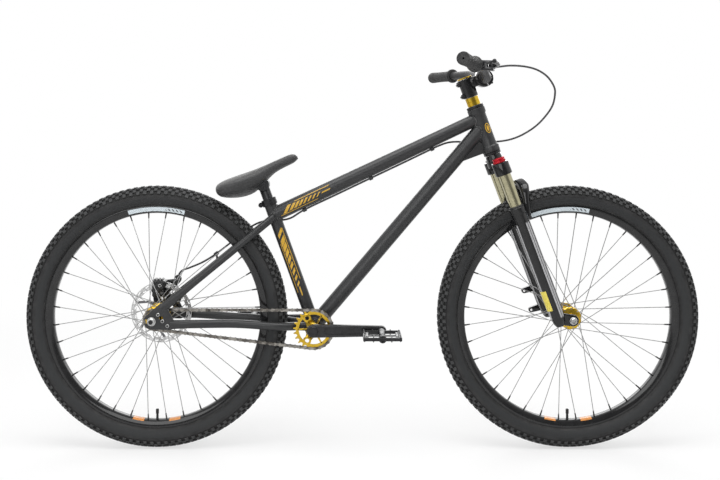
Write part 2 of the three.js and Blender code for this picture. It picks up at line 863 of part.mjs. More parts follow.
function makeChain(material) {
  const pins = chainPins();
  const links = [];
  for (let i = 0; i < chainLinks; i += 1) {
    const from = pins[i];
    const to = pins[(i + 1) % chainLinks];
    const length = from.distanceTo(to);
    const turn = (Math.atan2(to.y - from.y, to.x - from.x) * 180) / Math.PI;
    const middleX = (from.x + to.x) / 2;
    const middleZ = (from.y + to.y) / 2;
    for (const piece of i % 2 === 0 ? [innerLink(length)] : outerLink(length)) {
      links.push(piece.rotate([0, -turn, 0]).translate([middleX, -chainlineY, middleZ]));
    }
  }
  add(bike, "chain", surface(joined(links)), material);
}

// A sprocket stands so that its teeth lie between the chain's pins.
function sprocketTurn(centre, pitchRadius) {
  const pins = chainPins();
  const middle = flat(centre.x, centre.z);
  const seated = pins.filter((one) => Math.abs(one.distanceTo(middle) - pitchRadius) < seatedTolerance);
  const pin = seated[Math.floor(seated.length / 2)];
  return Math.atan2(pin.y - centre.z, pin.x - centre.x);
}

function makeChainring(group, material) {
  const low = -chainlineY - toothHalfWidth;
  const high = -chainlineY + toothHalfWidth;
  const outline = sprocketShape(ringTeeth, ringPitchRadius);
  const inner = ringPitchRadius - rootDepth - ringBandWidth;
  outline.holes.push(new THREE.Path(polygon(inner, inner, ringInnerSides).getPoints()));
  const teeth = sidePlate(outline, low, high);
  teeth.rotateY(-sprocketTurn(crankCentre, ringPitchRadius) - Math.PI / ringTeeth);
  const parts = [solid(teeth)];
  parts.push(solid(crossBar(0, 0, low - 2 * toothHalfWidth, high, ringBossRadius, tubeSides)));
  const holes = [];
  for (let i = 0; i < 3; i += 1) {
    const angle = (i * 2 * Math.PI) / 3;
    const eye = flat(ringEyeCircle * Math.cos(angle), ringEyeCircle * Math.sin(angle));
    const reach = inner + seatGap * 3;
    const arm = box(0, reach, low, high, -ringArmHalfWidth, ringArmHalfWidth);
    parts.push(solid(arm.rotateY(-angle)));
    parts.push(solid(crossBar(eye.x, eye.y, low, high, ringEyeRadius, 8)));
    holes.push(solid(crossBar(eye.x, eye.y, low - cutOverrun, high + cutOverrun, ringEyeHole, 6)));
    const spoke = box(0, reach, low, high, -ringSpokeHalfWidth, ringSpokeHalfWidth);
    parts.push(solid(spoke.rotateY(-angle - Math.PI / 3)));
  }
  holes.push(solid(crossBar(0, 0, low - cutOverrun, high + cutOverrun, spindleRadius + seatGap)));
  add(group, "chainring", surface(without(joined(parts), holes)), material);
}

function makeCog(group, material) {
  const low = -chainlineY - toothHalfWidth;
  const high = -chainlineY + toothHalfWidth;
  const teeth = sidePlate(sprocketShape(cogTeeth, cogPitchRadius), low, high);
  teeth.rotateY(-sprocketTurn(rearAxle, cogPitchRadius) - Math.PI / cogTeeth);
  const boss = crossBar(0, 0, low - cogBossLength / 2, high + cogBossLength, cogBossRadius);
  const bore = crossBar(0, 0, low - cogBossLength, high + 2 * cogBossLength, axleConeRadius + runningGap);
  add(group, "rear_cog", surface(solid(teeth).add(solid(boss)).subtract(solid(bore))), material);
}

// Cranks: a tapered arm with a shallow pocket along its outer face.
function crankArm(side, forward) {
  const inner = side * crankInnerY;
  const outer = side * (crankInnerY + crankThickness);
  const low = Math.min(inner, outer);
  const high = Math.max(inner, outer);
  const hub = flat(0, 0);
  const eye = flat(forward * crankLength, 0);
  const arm = solid(sidePlate(linkShape(hub, crankEyeRadius, eye, crankPedalEyeRadius, 6), low, high));
  const pocketFrom = flat(forward * 2 * crankEyeRadius, 0);
  const pocketTo = flat(forward * (crankLength - 2 * crankPedalEyeRadius), 0);
  const pocketEnd = crankPedalEyeRadius - crankPocketInset;
  const pocket = linkShape(pocketFrom, crankEyeRadius / 2, pocketTo, pocketEnd, 3);
  const face = side > 0 ? high - crankPocketDepth : low - cutOverrun;
  const pocketSolid = solid(sidePlate(pocket, face, face + crankPocketDepth + cutOverrun));
  const reach = cutOverrun + crankThickness;
  const bore = solid(crossBar(0, 0, low - reach, high + reach, spindleRadius + seatGap));
  const pedalBore = solid(crossBar(eye.x, 0, low - reach, high + reach, pedalAxleRadius + seatGap, 12));
  return without(arm, [pocketSolid, bore, pedalBore]);
}

const crankOuterY = crankInnerY + crankThickness;
const pedalInnerY = crankOuterY + pedalStandOff;

function makeCranks(material, axleMaterial, bodyMaterial) {
  const group = new THREE.Group();
  group.position.copy(crankCentre);
  bike.add(group);
  const spindle = crossBar(0, 0, -crankOuterY, crankOuterY, spindleRadius);
  add(group, "crank_spindle", spindle, axleMaterial);
  for (const [side, word, forward] of [[-1, "right", 1], [1, "left", -1]]) {
    add(group, `crank_arm_${word}`, surface(crankArm(side, forward)), material);
    const pedal = new THREE.Group();
    pedal.position.set(forward * crankLength, 0, 0);
    group.add(pedal);
    const tip = pedalInnerY + pedalWidth - pedalRailWidth;
    const axle = crossBar(0, 0, crankInnerY, tip, pedalAxleRadius, 8);
    const collarRadiusHere = pedalBarrelRadius - seatGap;
    const collar = crossBar(0, 0, crankOuterY + seatGap, pedalInnerY - seatGap, collarRadiusHere, 8);
    const mirror = side > 0 ? 1 : -1;
    const axleSolid = solid(axle).add(solid(collar)).scale([1, mirror, 1]);
    add(pedal, `pedal_axle_${word}`, surface(axleSolid), axleMaterial);
    add(pedal, `pedal_cage_${word}`, surface(pedalCage().scale([1, mirror, 1])), bodyMaterial);
  }
  return group;
}

// A platform pedal: an outer cage, a barrel for the axle and bridges between them.
function pedalCage() {
  const low = pedalInnerY;
  const high = pedalInnerY + pedalWidth;
  const half = pedalLength / 2;
  const tall = pedalThickness / 2;
  const outline = new THREE.Shape([
    flat(-half, -tall + pedalEdgeDrop),
    flat(-half + pedalRailWidth, -tall),
    flat(half - pedalRailWidth, -tall),
    flat(half, -tall + pedalEdgeDrop),
    flat(half, tall - pedalEdgeDrop),
    flat(half - pedalRailWidth, tall),
    flat(-half + pedalRailWidth, tall),
    flat(-half, tall - pedalEdgeDrop),
  ]);
  const block = solid(sidePlate(outline, low, high));
  const middle = (low + high) / 2;
  const windows = [];
  for (const way of [-1, 1]) {
    const near = way * (pedalBarrelRadius - pedalEdgeDrop);
    const far = way * (half - pedalRailWidth);
    const spans = [[low + pedalRailWidth, middle - pedalBridgeWidth / 2],
      [middle + pedalBridgeWidth / 2, high - pedalRailWidth]];
    for (const [from, to] of spans) {
      windows.push(
        solid(box(Math.min(near, far), Math.max(near, far), from, to, -pedalThickness, pedalThickness)),
      );
    }
  }
  const barrel = solid(crossBar(0, 0, low, high, pedalBarrelRadius, 10));
  const boreEnd = high - pedalRailWidth + runningGap;
  const bore = solid(crossBar(0, 0, low - cutOverrun, boreEnd, pedalAxleRadius + runningGap / 2, 12));
  return without(block, windows).add(barrel).subtract(bore);
}

// Wheels

const tyreCentreRadius = tyreRadius - tyreSectionRadius;

function tyreProfile() {
  const flangeInner = rimHalfWidth - rimFlange;
  const beadOuter = flangeInner - seatGap;
  const clear = rimOuterRadius + seatGap;
  const limit = Math.acos((clear - tyreCentreRadius) / tyreSectionRadius);
  const outerSteps = 6;
  const points = [];
  for (let i = 0; i <= outerSteps; i += 1) {
    const angle = -limit + (2 * limit * i) / outerSteps;
    const radius = tyreCentreRadius + tyreSectionRadius * Math.cos(angle);
    points.push([radius, tyreSectionRadius * Math.sin(angle)]);
  }
  points.push([clear, beadOuter], [rimBedRadius + seatGap, beadOuter]);
  points.push([rimBedRadius + seatGap, -beadOuter], [clear, -beadOuter]);
  return points;
}

function rimProfile() {
  const flangeInner = rimHalfWidth - rimFlange;
  return [
    [rimOuterRadius, rimHalfWidth],
    [rimOuterRadius, flangeInner],
    [rimBedRadius, flangeInner],
    [rimBedRadius, -flangeInner],
    [rimOuterRadius, -flangeInner],
    [rimOuterRadius, -rimHalfWidth],
    [rimInnerRadius, -rimInnerHalfWidth],
    [rimInnerRadius, rimInnerHalfWidth],
  ];
}

// Crossed spokes of one side, from the flange to the rim.
function spokes(flangeRadius, flangeY, side, shift) {
  const made = [];
  const circle = flangeRadius - flangeRim;
  const reach = rimInnerRadius * Math.cos(Math.PI / wheelSides) - seatGap;
  for (let i = 0; i < spokesPerSide; i += 1) {
    const way = i % 2 === 0 ? 1 : -1;
    const hubAngle = shift + (i * 2 * Math.PI) / spokesPerSide;
    const rimAngle = hubAngle + way * spokeCrossTurn;
    const from = vector(circle * Math.cos(hubAngle), side * (flangeY + way * spokeFlangeOffset),
      circle * Math.sin(hubAngle));
    const to = vector(reach * Math.cos(rimAngle), side * spokeRimOffset, reach * Math.sin(rimAngle));
    made.push(solid(rod(from, to, spokeRadius, 3)));
  }
  return made;
}

function hubProfile(rightEnd, leftEnd, endRadius, flangeRadius, flangeY, shellRadiusHere) {
  const bore = axleRadius + runningGap;
  return [
    [bore, -rightEnd],
    [endRadius, -rightEnd],
    [endRadius, -flangeY - flangeHalfThickness],
    [flangeRadius, -flangeY - flangeHalfThickness],
    [flangeRadius, -flangeY + flangeHalfThickness],
    [shellRadiusHere, -flangeY + 2 * flangeHalfThickness],
    [shellRadiusHere, flangeY - 2 * flangeHalfThickness],
    [flangeRadius, flangeY - flangeHalfThickness],
    [flangeRadius, flangeY + flangeHalfThickness],
    [endRadius, flangeY + flangeHalfThickness],
    [endRadius, leftEnd],
    [bore, leftEnd],
  ];
}

function makeWheel(name, centre, hub, flangeRadius, flangeY, materials) {
  const group = new THREE.Group();
  group.position.copy(centre);
  bike.add(group);
  const start = Math.PI / wheelSides;
  add(group, `${name}_tyre`, revolveRing(tyreProfile(), wheelSides, start), materials.tyre);
  const rim = solid(revolveRing(rimProfile(), wheelSides, start));
  const valveTop = (rimInnerRadius + rimBedRadius) / 2;
  const valve = solid(
    rod(vector(0, 0, -valveTop), vector(0, 0, -valveTop + valveLength), valveRadius, 6, valveRadius / 2),
  );
  add(group, `${name}_rim`, surface(rim.add(valve)), materials.rim);
  const halfStep = Math.PI / spokesPerSide;
  const shift = halfStep / 2;
  const parts = [
    solid(revolveRing(hub, hubSides)),
    ...spokes(flangeRadius, flangeY, -1, shift),
    ...spokes(flangeRadius, flangeY, 1, shift + halfStep),
  ];
  add(group, `${name}_hub`, surface(joined(parts)), materials.hub);
  return group;
}

// The brake disc: a band with holes, carried by swept arms.
function makeDisc(group, material) {
  const low = discY - discThickness / 2;
  const high = discY + discThickness / 2;
  const bandInner = discRadius - discBandWidth;
  const band = polygon(discRadius, discRadius, discSides);
  band.holes.push(new THREE.Path(polygon(bandInner, bandInner, discSides).getPoints()));
  const hub = crossBar(0, 0, low, high, discHubRadius, hubSides);
  const parts = [solid(sidePlate(band, low, high)), solid(hub)];
  for (let i = 0; i < discArms; i += 1) {
    const angle = (i * 2 * Math.PI) / discArms;
    const root = discHubRadius - 2 * discArmHalfWidth;
    const tip = bandInner + discArmHalfWidth;
    const from = flat(root * Math.cos(angle), root * Math.sin(angle));
    const to = flat(tip * Math.cos(angle + discArmTurn), tip * Math.sin(angle + discArmTurn));
    const arm = linkShape(from, discArmHalfWidth, to, discArmHalfWidth - seatGap, 1);
    parts.push(solid(sidePlate(arm, low, high)));
  }
  const holes = [];
  for (let i = 0; i < discHoles; i += 1) {
    const angle = (i * 2 * Math.PI) / discHoles;
    const middle = discRadius - discBandWidth * discHoleShares[i % 2];
    const x = middle * Math.cos(angle);
    holes.push(solid(crossBar(x, middle * Math.sin(angle), 0, 2 * discY, discHoleRadius, 4)));
  }
  const bore = rearHubEndRadius + seatGap;
  holes.push(solid(crossBar(0, 0, 0, 2 * discY, bore, hubSides)));
  add(group, "brake_disc", surface(without(joined(parts), holes)), material);
}

// Fork

function forkLeg(side) {
  const profile = [
    [0, legFoot],
    [legFootRadius, legFoot],
    [legRadius, legFootTop],
    [legRadius, legTop - legTopBand - legTopChamfer],
    [legTopRadius, legTop - legTopBand],
    [legTopRadius, legTop],
    [0, legTop],
  ];
  return solid(revolve(profile, tubeSides).rotateX(Math.PI / 2).translate(0, side * legHalfSpan, 0));
}

// The arch that joins the two legs in front of the tyre.
function forkArch() {
  const base = legTop - legTopBand;
  const shoulder = base + archRise - archShoulderDrop;
  const reach = legHalfSpan - stanchionRadius / 2;
  const curve = new THREE.CatmullRomCurve3([
    vector(legRadius, -reach, base - legTopBand),
    vector((legRadius + archForward) / 2, -reach + archHalfDepth / 2, (base + shoulder) / 2),
    vector(archForward, -archShoulderY + archHalfDepth, shoulder),
    vector(archForward, 0, base + archRise),
    vector(archForward, archShoulderY - archHalfDepth, shoulder),
    vector((legRadius + archForward) / 2, reach - archHalfDepth / 2, (base + shoulder) / 2),
    vector(legRadius, reach, base - legTopBand),
  ]);
  return solid(sweep(curve, polygon(archHalfDepth, archHalfHeight, 6), 10));
}

function makeForkLowers(group, material) {
  const parts = [forkLeg(-1), forkLeg(1), forkArch()];
  const inner = frontDropoutHalfWidth;
  const outer = legHalfSpan;
  for (const side of [-1, 1]) {
    const low = Math.min(side * inner, side * outer);
    const high = Math.max(side * inner, side * outer);
    const foot = linkShape(flat(0, -legFoot), legFootRadius, flat(forkOffset, 0), legFootRadius - seatGap, 4);
    parts.push(solid(sidePlate(foot, low, high)));
  }
  for (const height of [brakeTabUpper, brakeTabLower]) {
    const tab = linkShape(flat(0, height), legFootRadius, flat(-legRadius - brakeTabReach, height - seatGap),
      brakeTabRadius, 3);
    parts.push(solid(sidePlate(tab, legHalfSpan - brakeTabHalfWidth, legHalfSpan + brakeTabHalfWidth)));
  }
  const reach = legHalfSpan + legRadius + cutOverrun;
  const cutters = [solid(crossBar(forkOffset, 0, -reach, reach, axleRadius + seatGap, 12))];
  for (const side of [-1, 1]) {
    const low = Math.min(side * outer, side * reach);
    const high = Math.max(side * outer, side * reach);
    cutters.push(solid(crossBar(forkOffset, 0, low, high, axleNutRadius + seatGap, hubSides)));
    const boreLow = vector(0, side * legHalfSpan, legBoreBottom);
    const boreHigh = vector(0, side * legHalfSpan, legTop + archRise);
    const bore = rod(boreLow, boreHigh, stanchionRadius + seatGap);
    cutters.push(solid(bore));
  }
  add(group, "fork_lowers", surface(largest(without(joined(parts), cutters))), material);
}

function makeForkUpper(group, material, tubeMaterial, knobMaterial) {
  const boss = [
    [0, crownMiddleLower],
    [crownMiddleRadius, crownMiddleLower],
    [crownMiddleRadius, crownSocketTop + knobHeight / 2],
    [crownRaceRadius, crownTop],
    [0, crownTop],
  ];
  const parts = [solid(revolve(boss, tubeSides).rotateX(Math.PI / 2))];
  const web = new THREE.Shape([
    new THREE.Vector2(-legHalfSpan, crownLower + crownSocketRadius / 3),
    new THREE.Vector2(0, crownMiddleLower),
    new THREE.Vector2(legHalfSpan, crownLower + crownSocketRadius / 3),
    new THREE.Vector2(legHalfSpan, crownSocketTop - seatGap),
    new THREE.Vector2(crownMiddleRadius / 2, crownSocketTop + knobHeight / 2),
    new THREE.Vector2(-crownMiddleRadius / 2, crownSocketTop + knobHeight / 2),
    new THREE.Vector2(-legHalfSpan, crownSocketTop - seatGap),
  ]);
  const bridge = new THREE.ExtrudeGeometry(web, { depth: 2 * crownWebHalfDepth, bevelEnabled: false });
  bridge.rotateX(Math.PI / 2);
  bridge.translate(0, crownWebHalfDepth, 0);
  bridge.rotateZ(Math.PI / 2);
  parts.push(solid(bridge));
  const holes = [
    solid(rod(vector(0, 0, crownLower), vector(0, 0, crownTop + cutOverrun), steererRadius + seatGap)),
  ];
  for (const side of [-1, 1]) {
    const y = side * legHalfSpan;
    parts.push(solid(rod(vector(0, y, crownLower), vector(0, y, crownSocketTop), crownSocketRadius)));
    holes.push(
      solid(rod(vector(0, y, crownLower - cutOverrun), vector(0, y, crownSocketTop + cutOverrun),
        stanchionRadius + seatGap)),
    );
    const word = side < 0 ? "right" : "left";
    const stanchion = rod(vector(0, y, stanchionBottom), vector(0, y, crownSocketTop), stanchionRadius);
    add(group, `stanchion_${word}`, stanchion, tubeMaterial);
  }
  add(group, "fork_crown", surface(without(joined(parts), holes)), material);
  const knobLow = crownSocketTop + seatGap;
  add(group, "adjuster_knob", surface(adjusterKnob(knobLow)), knobMaterial);
  const capTop = vector(0, legHalfSpan, knobLow + knobHeight / 2);
  const cap = rod(vector(0, legHalfSpan, knobLow), capTop, knobRadius);
  add(group, "fork_cap_left", cap, material);
  const steererProfile = [
    [steererRadius - steererWall, crownMiddleLower],
    [steererRadius, crownMiddleLower],
    [steererRadius, stemLower + stemClampHeight],
    [steererRadius - steererWall, stemLower + stemClampHeight],
  ];
  add(group, "steerer", revolveRing(steererProfile, tubeSides).rotateX(Math.PI / 2), material);
}

function adjusterKnob(low) {
  const y = -legHalfSpan;
  const knob = solid(rod(vector(0, y, low), vector(0, y, low + knobHeight), knobRadius));
  const grooves = [];
  for (let i = 0; i < knobRibs; i += 1) {
    const angle = (i * 2 * Math.PI) / knobRibs;
    const x = knobRadius * Math.cos(angle);
    const grooveY = y + knobRadius * Math.sin(angle);
    grooves.push(
      solid(rod(vector(x, grooveY, low + knobHeight / 3), vector(x, grooveY, low + knobHeight + cutOverrun),
        knobRibDepth, 3)),
    );
  }
  return without(knob, grooves);
}

// Stem and bar

const barCentre = vector(stemReach, 0, barAlong);

function stemParts() {
  const clampLow = vector(0, 0, stemLower);
  const clampHigh = vector(0, 0, stemLower + stemClampHeight);
  const face = crossBar(stemReach, barAlong, -stemFaceHalfWidth, stemFaceHalfWidth, stemFaceRadius);
  const neck = box(0, stemReach, -stemNeckHalfWidth, stemNeckHalfWidth, barAlong - stemNeckHalfHeight,
    barAlong + stemNeckHalfHeight);
  const parts = [solid(rod(clampLow, clampHigh, stemClampRadius)), solid(face), solid(neck)];
  const inset = stemClampHeight / 6;
  for (const height of [stemLower + inset, stemLower + stemClampHeight - inset]) {
    const boss = crossBar(-stemClampRadius, height, -stemNeckHalfWidth, stemNeckHalfWidth, stemBossRadius, 8);
    parts.push(solid(boss));
  }
  const boreLow = vector(0, 0, stemLower - cutOverrun);
  const boreHigh = vector(0, 0, stemLower + stemClampHeight + cutOverrun);
  const bore = solid(rod(boreLow, boreHigh, steererRadius + seatGap));
  const barBore = solid(crossBar(stemReach, barAlong, -2 * barClampHalfWidth, 2 * barClampHalfWidth,
    barClampRadius + seatGap));
  const slit = solid(box(-2 * stemClampRadius, 0, -collarSlotWidth / 2, collarSlotWidth / 2,
    stemLower - cutOverrun, stemLower + stemClampHeight + cutOverrun));
  return without(joined(parts), [bore, barBore, slit]);
}

function makeStem(group, material, capMaterial) {
  const whole = stemParts();
  const reach = 2 * stemFaceRadius;
  const faceX = stemReach + barClampRadius / 6;
  const endX = stemReach + reach;
  const front = solid(box(faceX, endX, -reach, reach, barAlong - reach, barAlong + reach));
  const back = solid(box(faceX - seatGap, endX, -reach, reach, barAlong - reach, barAlong + reach));
  add(group, "stem", surface(whole.subtract(back)), material);
  add(group, "stem_faceplate", surface(whole.intersect(front)), material);
  const spacerLow = headTubeTop + headsetCupHeight + seatGap;
  const inner = steererRadius + seatGap;
  const profile = [[inner, spacerLow], [spacerRadius, spacerLow], [spacerRadius, spacerLow + spacerHeight],
    [inner, spacerLow + spacerHeight]];
  add(group, "headset_spacer", revolveRing(profile, tubeSides).rotateX(Math.PI / 2), capMaterial);
  const capLow = stemLower + stemClampHeight + seatGap;
  const cap = rod(vector(0, 0, capLow), vector(0, 0, capLow + steererCapHeight), stemClampRadius - seatGap);
  add(group, "steerer_cap", cap, capMaterial);
}

// The bar's centre line: straight in the clamp, a rise on each side, then straight under the grips.
function barPlaces(side) {
  const end = vector(barCentre.x - barSweepBack, side * barHalfWidth, barCentre.z + barRise);
  const riseX = barCentre.x - barSweepBack * barBackShare;
  const rise = vector(riseX, side * barRiseY, barCentre.z + barRise * barRiseShare);
  const start = vector(barCentre.x, side * barBendStartY, barCentre.z);
  return { start, rise, end };
}

function barCurve() {
  const right = barPlaces(-1);
  const left = barPlaces(1);
  const curve = new THREE.CurvePath();
  const bendShare = 0.3;
  const rightBend = right.rise.clone().lerp(right.end, bendShare / 2);
  const leftBend = left.rise.clone().lerp(left.end, bendShare / 2);
  const rightIn = right.rise.clone().lerp(right.start, bendShare);
  const leftIn = left.rise.clone().lerp(left.start, bendShare);
  const rightOut = right.start.clone().lerp(right.rise, bendShare);
  const leftOut = left.start.clone().lerp(left.rise, bendShare);
  const rightFlat = right.start.clone().setY(-barClampHalfWidth);
  const leftFlat = left.start.clone().setY(barClampHalfWidth);
  curve.add(new THREE.LineCurve3(right.end, rightBend));
  curve.add(new THREE.QuadraticBezierCurve3(rightBend, right.rise, rightIn));
  curve.add(new THREE.LineCurve3(rightIn, rightOut));
  curve.add(new THREE.QuadraticBezierCurve3(rightOut, right.start, rightFlat));
  curve.add(new THREE.LineCurve3(rightFlat, leftFlat));
  curve.add(new THREE.QuadraticBezierCurve3(leftFlat, left.start, leftOut));
  curve.add(new THREE.LineCurve3(leftOut, leftIn));
  curve.add(new THREE.QuadraticBezierCurve3(leftIn, left.rise, leftBend));
  curve.add(new THREE.LineCurve3(leftBend, left.end));
  return curve;
}

// A place on the bar at a distance from its end, and the bar's direction there toward the middle.
function onBar(side, fromEnd) {
  const { rise, end } = barPlaces(side);
  const inward = rise.clone().sub(end).normalize();
  const place = end.clone().addScaledVector(inward, fromEnd);
  return { place, inward };
}

function makeBar(group, material) {
  const bar = solid(sweep(barCurve(), polygon(barRadius, barRadius, 8), 19));
  const middle = crossBar(barCentre.x, barCentre.z, -barClampHalfWidth, barClampHalfWidth, barClampRadius);
  add(group, "handlebar", surface(bar.add(solid(middle))), material);
}

function makeGrips(group, material) {
  for (const [side, word] of [[-1, "right"], [1, "left"]]) {
    const { place, inward } = onBar(side, 0);
    const inner = boreRound(barRadius);
    const profile = [
      [0, -gripEnd],
      [gripRadius, -gripEnd],
      [gripRadius, gripEnd],
      [gripWaistRadius, gripLength / 2],
      [gripRadius, gripLength - 2 * gripFlangeWidth],
      [gripFlangeRadius, gripLength - gripFlangeWidth],
      [gripFlangeRadius, gripLength],
      [inner, gripLength],
      [inner, -seatGap],
      [0, -seatGap],
    ];
    const geometry = revolve(profile, 10);
    geometry.applyQuaternion(new THREE.Quaternion().setFromUnitVectors(vector(0, 1, 0), inward));
    geometry.translate(place.x, place.y, place.z);
    add(group, `grip_${word}`, surface(solid(geometry)), material);
  }
}

// The brake lever's clamp and blade stand in a frame of their own on the right end of the bar.
function leverFrame() {
  const { place, inward } = onBar(-1, gripLength + leverClampOffset);
  const y = inward;
  const down = vector(Math.cos(leverPlaneTilt), 0, -Math.sin(leverPlaneTilt));
  const z = down.clone().cross(y).normalize();
  const x = y.clone().cross(z).normalize();
  const group = new THREE.Group();
  group.matrix.makeBasis(x, y, z);
  group.quaternion.setFromRotationMatrix(group.matrix);
  group.position.copy(place);
  return group;
}

function makeLever(steering, material, bladeMaterial) {
  const group = leverFrame();
  steering.add(group);
  const ring = solid(rod(vector(0, 0, 0), vector(0, leverClampWidth, 0), leverClampRadius));
  const pivotY = leverClampWidth / 2;
  const perch = solid(
    box(0, leverPerchReach + leverPivotRadius, pivotY - leverPerchHalfWidth, pivotY + leverPerchHalfWidth * 2,
      -leverPerchHalfHeight - leverBladeHalfHeight, leverPerchHalfHeight + leverBladeHalfHeight),
  );
  const barHole = solid(rod(vector(0, -leverClampWidth * 2, 0), vector(0, leverClampWidth * 4, 0),
    boreRound(barRadius)));
  const mouth = solid(
    box(leverPivotReach - leverPivotRadius - runningGap * 2, leverPivotReach + 4 * leverPivotRadius,
      pivotY - 2 * leverPerchHalfWidth, pivotY + 3 * leverPerchHalfWidth,
      -leverBladeHalfHeight - seatGap, leverBladeHalfHeight + seatGap),
  );
  const barrelFrom = vector(leverPivotReach, pivotY + 2 * leverPerchHalfWidth - seatGap, 0);
  const barrelTo = barrelFrom.clone().setY(barrelFrom.y + leverBarrelLength);
  const barrel = solid(rod(barrelFrom, barrelTo, leverBarrelRadius, 6));
  const cableBore = boreRound(cableRadius + runningGap, 6);
  const cableHole = solid(rod(barrelFrom.clone().setY(pivotY), barrelTo.clone().setY(barrelTo.y + cutOverrun),
    cableBore, 6));
  const clamp = without(joined([ring, perch, barrel]), [barHole, mouth, cableHole]);
  add(group, "lever_clamp", surface(clamp), material);
  const bladeGroup = new THREE.Group();
  bladeGroup.position.set(leverPivotReach, pivotY, 0);
  group.add(bladeGroup);
  add(bladeGroup, "brake_lever", surface(leverBlade()), bladeMaterial);
}

// The blade, drawn in the plane it swings in: an eye on the pivot, a bowed finger part and a round tip.
function leverBlade() {
  const thin = leverBladeHalfThickness;
  const reach = leverBladeLength;
  const shape = new THREE.Shape();
  shape.moveTo(-thin, leverPivotRadius);
  shape.lineTo(leverHookReach - thin, leverPivotRadius);
  shape.lineTo(leverHookReach, 0);
  shape.quadraticCurveTo(leverBladeBow + thin, -reach / 3, leverBladeBow + thin, -reach / 2);
  shape.quadraticCurveTo(thin, -reach, leverBladeBow, -reach + leverTipRadius);
  const tipX = leverBladeBow + leverTipRadius / 2;
  shape.quadraticCurveTo(tipX, -reach - leverTipRadius / 2, 0, -reach - leverTipRadius / 4);
  shape.quadraticCurveTo(-thin, -reach, -thin, -reach + leverTipRadius);
  shape.quadraticCurveTo(leverBladeBow - 2 * thin, -reach / 2, -thin, -leverPivotRadius);
  const geometry = new THREE.ExtrudeGeometry(shape, {
    depth: 2 * leverBladeHalfHeight,
    bevelEnabled: false,
    curveSegments: 4,
  });
  geometry.translate(0, 0, -leverBladeHalfHeight);
  geometry.rotateZ(leverRestTurn);
  return solid(geometry);
}

// Brake caliper and cable

const caliperCentre = flat(rearAxle.x - caliperBack, rearAxle.z + caliperRise);

function makeCaliper(material, armMaterial) {
  const half = caliperLength / 2;
  const tall = caliperHeight / 2;
  const c = caliperCorner;
  const outline = new THREE.Shape([
    flat(-half + c, -tall), flat(half - c, -tall), flat(half, -tall + c), flat(half, tall - c),
    flat(half - c, tall), flat(-half + c, tall), flat(-half, tall - c), flat(-half, -tall + c),
  ]);
  const form = sidePlate(outline, caliperInnerY, caliperOuterY);
  const block = solid(form.translate(caliperCentre.x, 0, caliperCentre.y));
  const slot = crossBar(rearAxle.x, rearAxle.z, discY - padSlotHalfWidth, discY + padSlotHalfWidth,
    discRadius + 2 * runningGap, wheelSides);
  const hubRoom = crossBar(rearAxle.x, rearAxle.z, 0, 2 * caliperOuterY, caliperRise - tall - c, wheelSides);
  const boss = crossBar(caliperCentre.x, caliperCentre.y, caliperOuterY - seatGap, caliperOuterY + c,
    caliperArmEye);
  const bracketLow = rearDropoutHalfWidth + dropoutThickness + seatGap;
  const bracketHigh = bracketLow + bracketThickness;
  const highEnd = flat(caliperCentre.x - half + c, caliperCentre.y - tall - bracketRadius - seatGap * 2);
  const farEnd = flat(caliperCentre.x + half - c, highEnd.y);
  const ears = [highEnd, farEnd].map((end) => {
    const root = flat(end.x, caliperCentre.y - tall + c);
    const ear = linkShape(end, caliperEarRadius, root, caliperEarRadius - seatGap, 4);
    return solid(sidePlate(ear, caliperEarInnerY, bracketLow - seatGap));
  });
  const body = joined([without(block, [solid(slot), solid(hubRoom)]), solid(boss), ...ears]);
  add(bike, "caliper_body", surface(body), material);
  const armTip = flat(caliperArmReach, caliperArmReach / 4);
  const arm = linkShape(flat(0, 0), caliperArmEye, armTip, caliperArmTip, 8);
  const armGroup = new THREE.Group();
  armGroup.position.set(caliperCentre.x, 0, caliperCentre.y);
  bike.add(armGroup);
  const armLow = caliperOuterY + c + seatGap;
  const armHigh = armLow + caliperArmThickness;
  const cableBoss = crossBar(caliperArmReach, caliperArmReach / 4, armLow, armHigh + 2 * caliperArmTip,
    caliperArmTip - seatGap, 8);
  const armSolid = solid(sidePlate(arm, armLow, armHigh)).add(solid(cableBoss));
  add(armGroup, "caliper_arm", surface(armSolid), armMaterial);
  const lowEnd = flat(rearAxle.x - dropoutEyeRadius / 2, rearAxle.z + dropoutEyeRadius / 2);
  const axleRoom = crossBar(rearAxle.x, rearAxle.z, 0, 2 * bracketHigh, axleNutRadius + runningGap, hubSides);
  const upright = linkShape(lowEnd, bracketRadius + c, highEnd, bracketRadius, 6);
  const shelf = linkShape(highEnd, bracketRadius, farEnd, bracketRadius - seatGap, 6);
  const bracketParts = [upright, shelf].map((shape) => solid(sidePlate(shape, bracketLow, bracketHigh)));
  add(bike, "caliper_bracket", surface(without(joined(bracketParts), [solid(axleRoom)])), material);
}

// The brake cable runs past four anchors: the lever, the top tube's two ends and the caliper's arm.
const cableAnchors = [
  inSteering(onBar(-1, gripLength + leverClampOffset).place),
  topTubeFront,
  topTubeRear,
  vector(caliperCentre.x + caliperArmReach, caliperOuterY, caliperCentre.y),
];

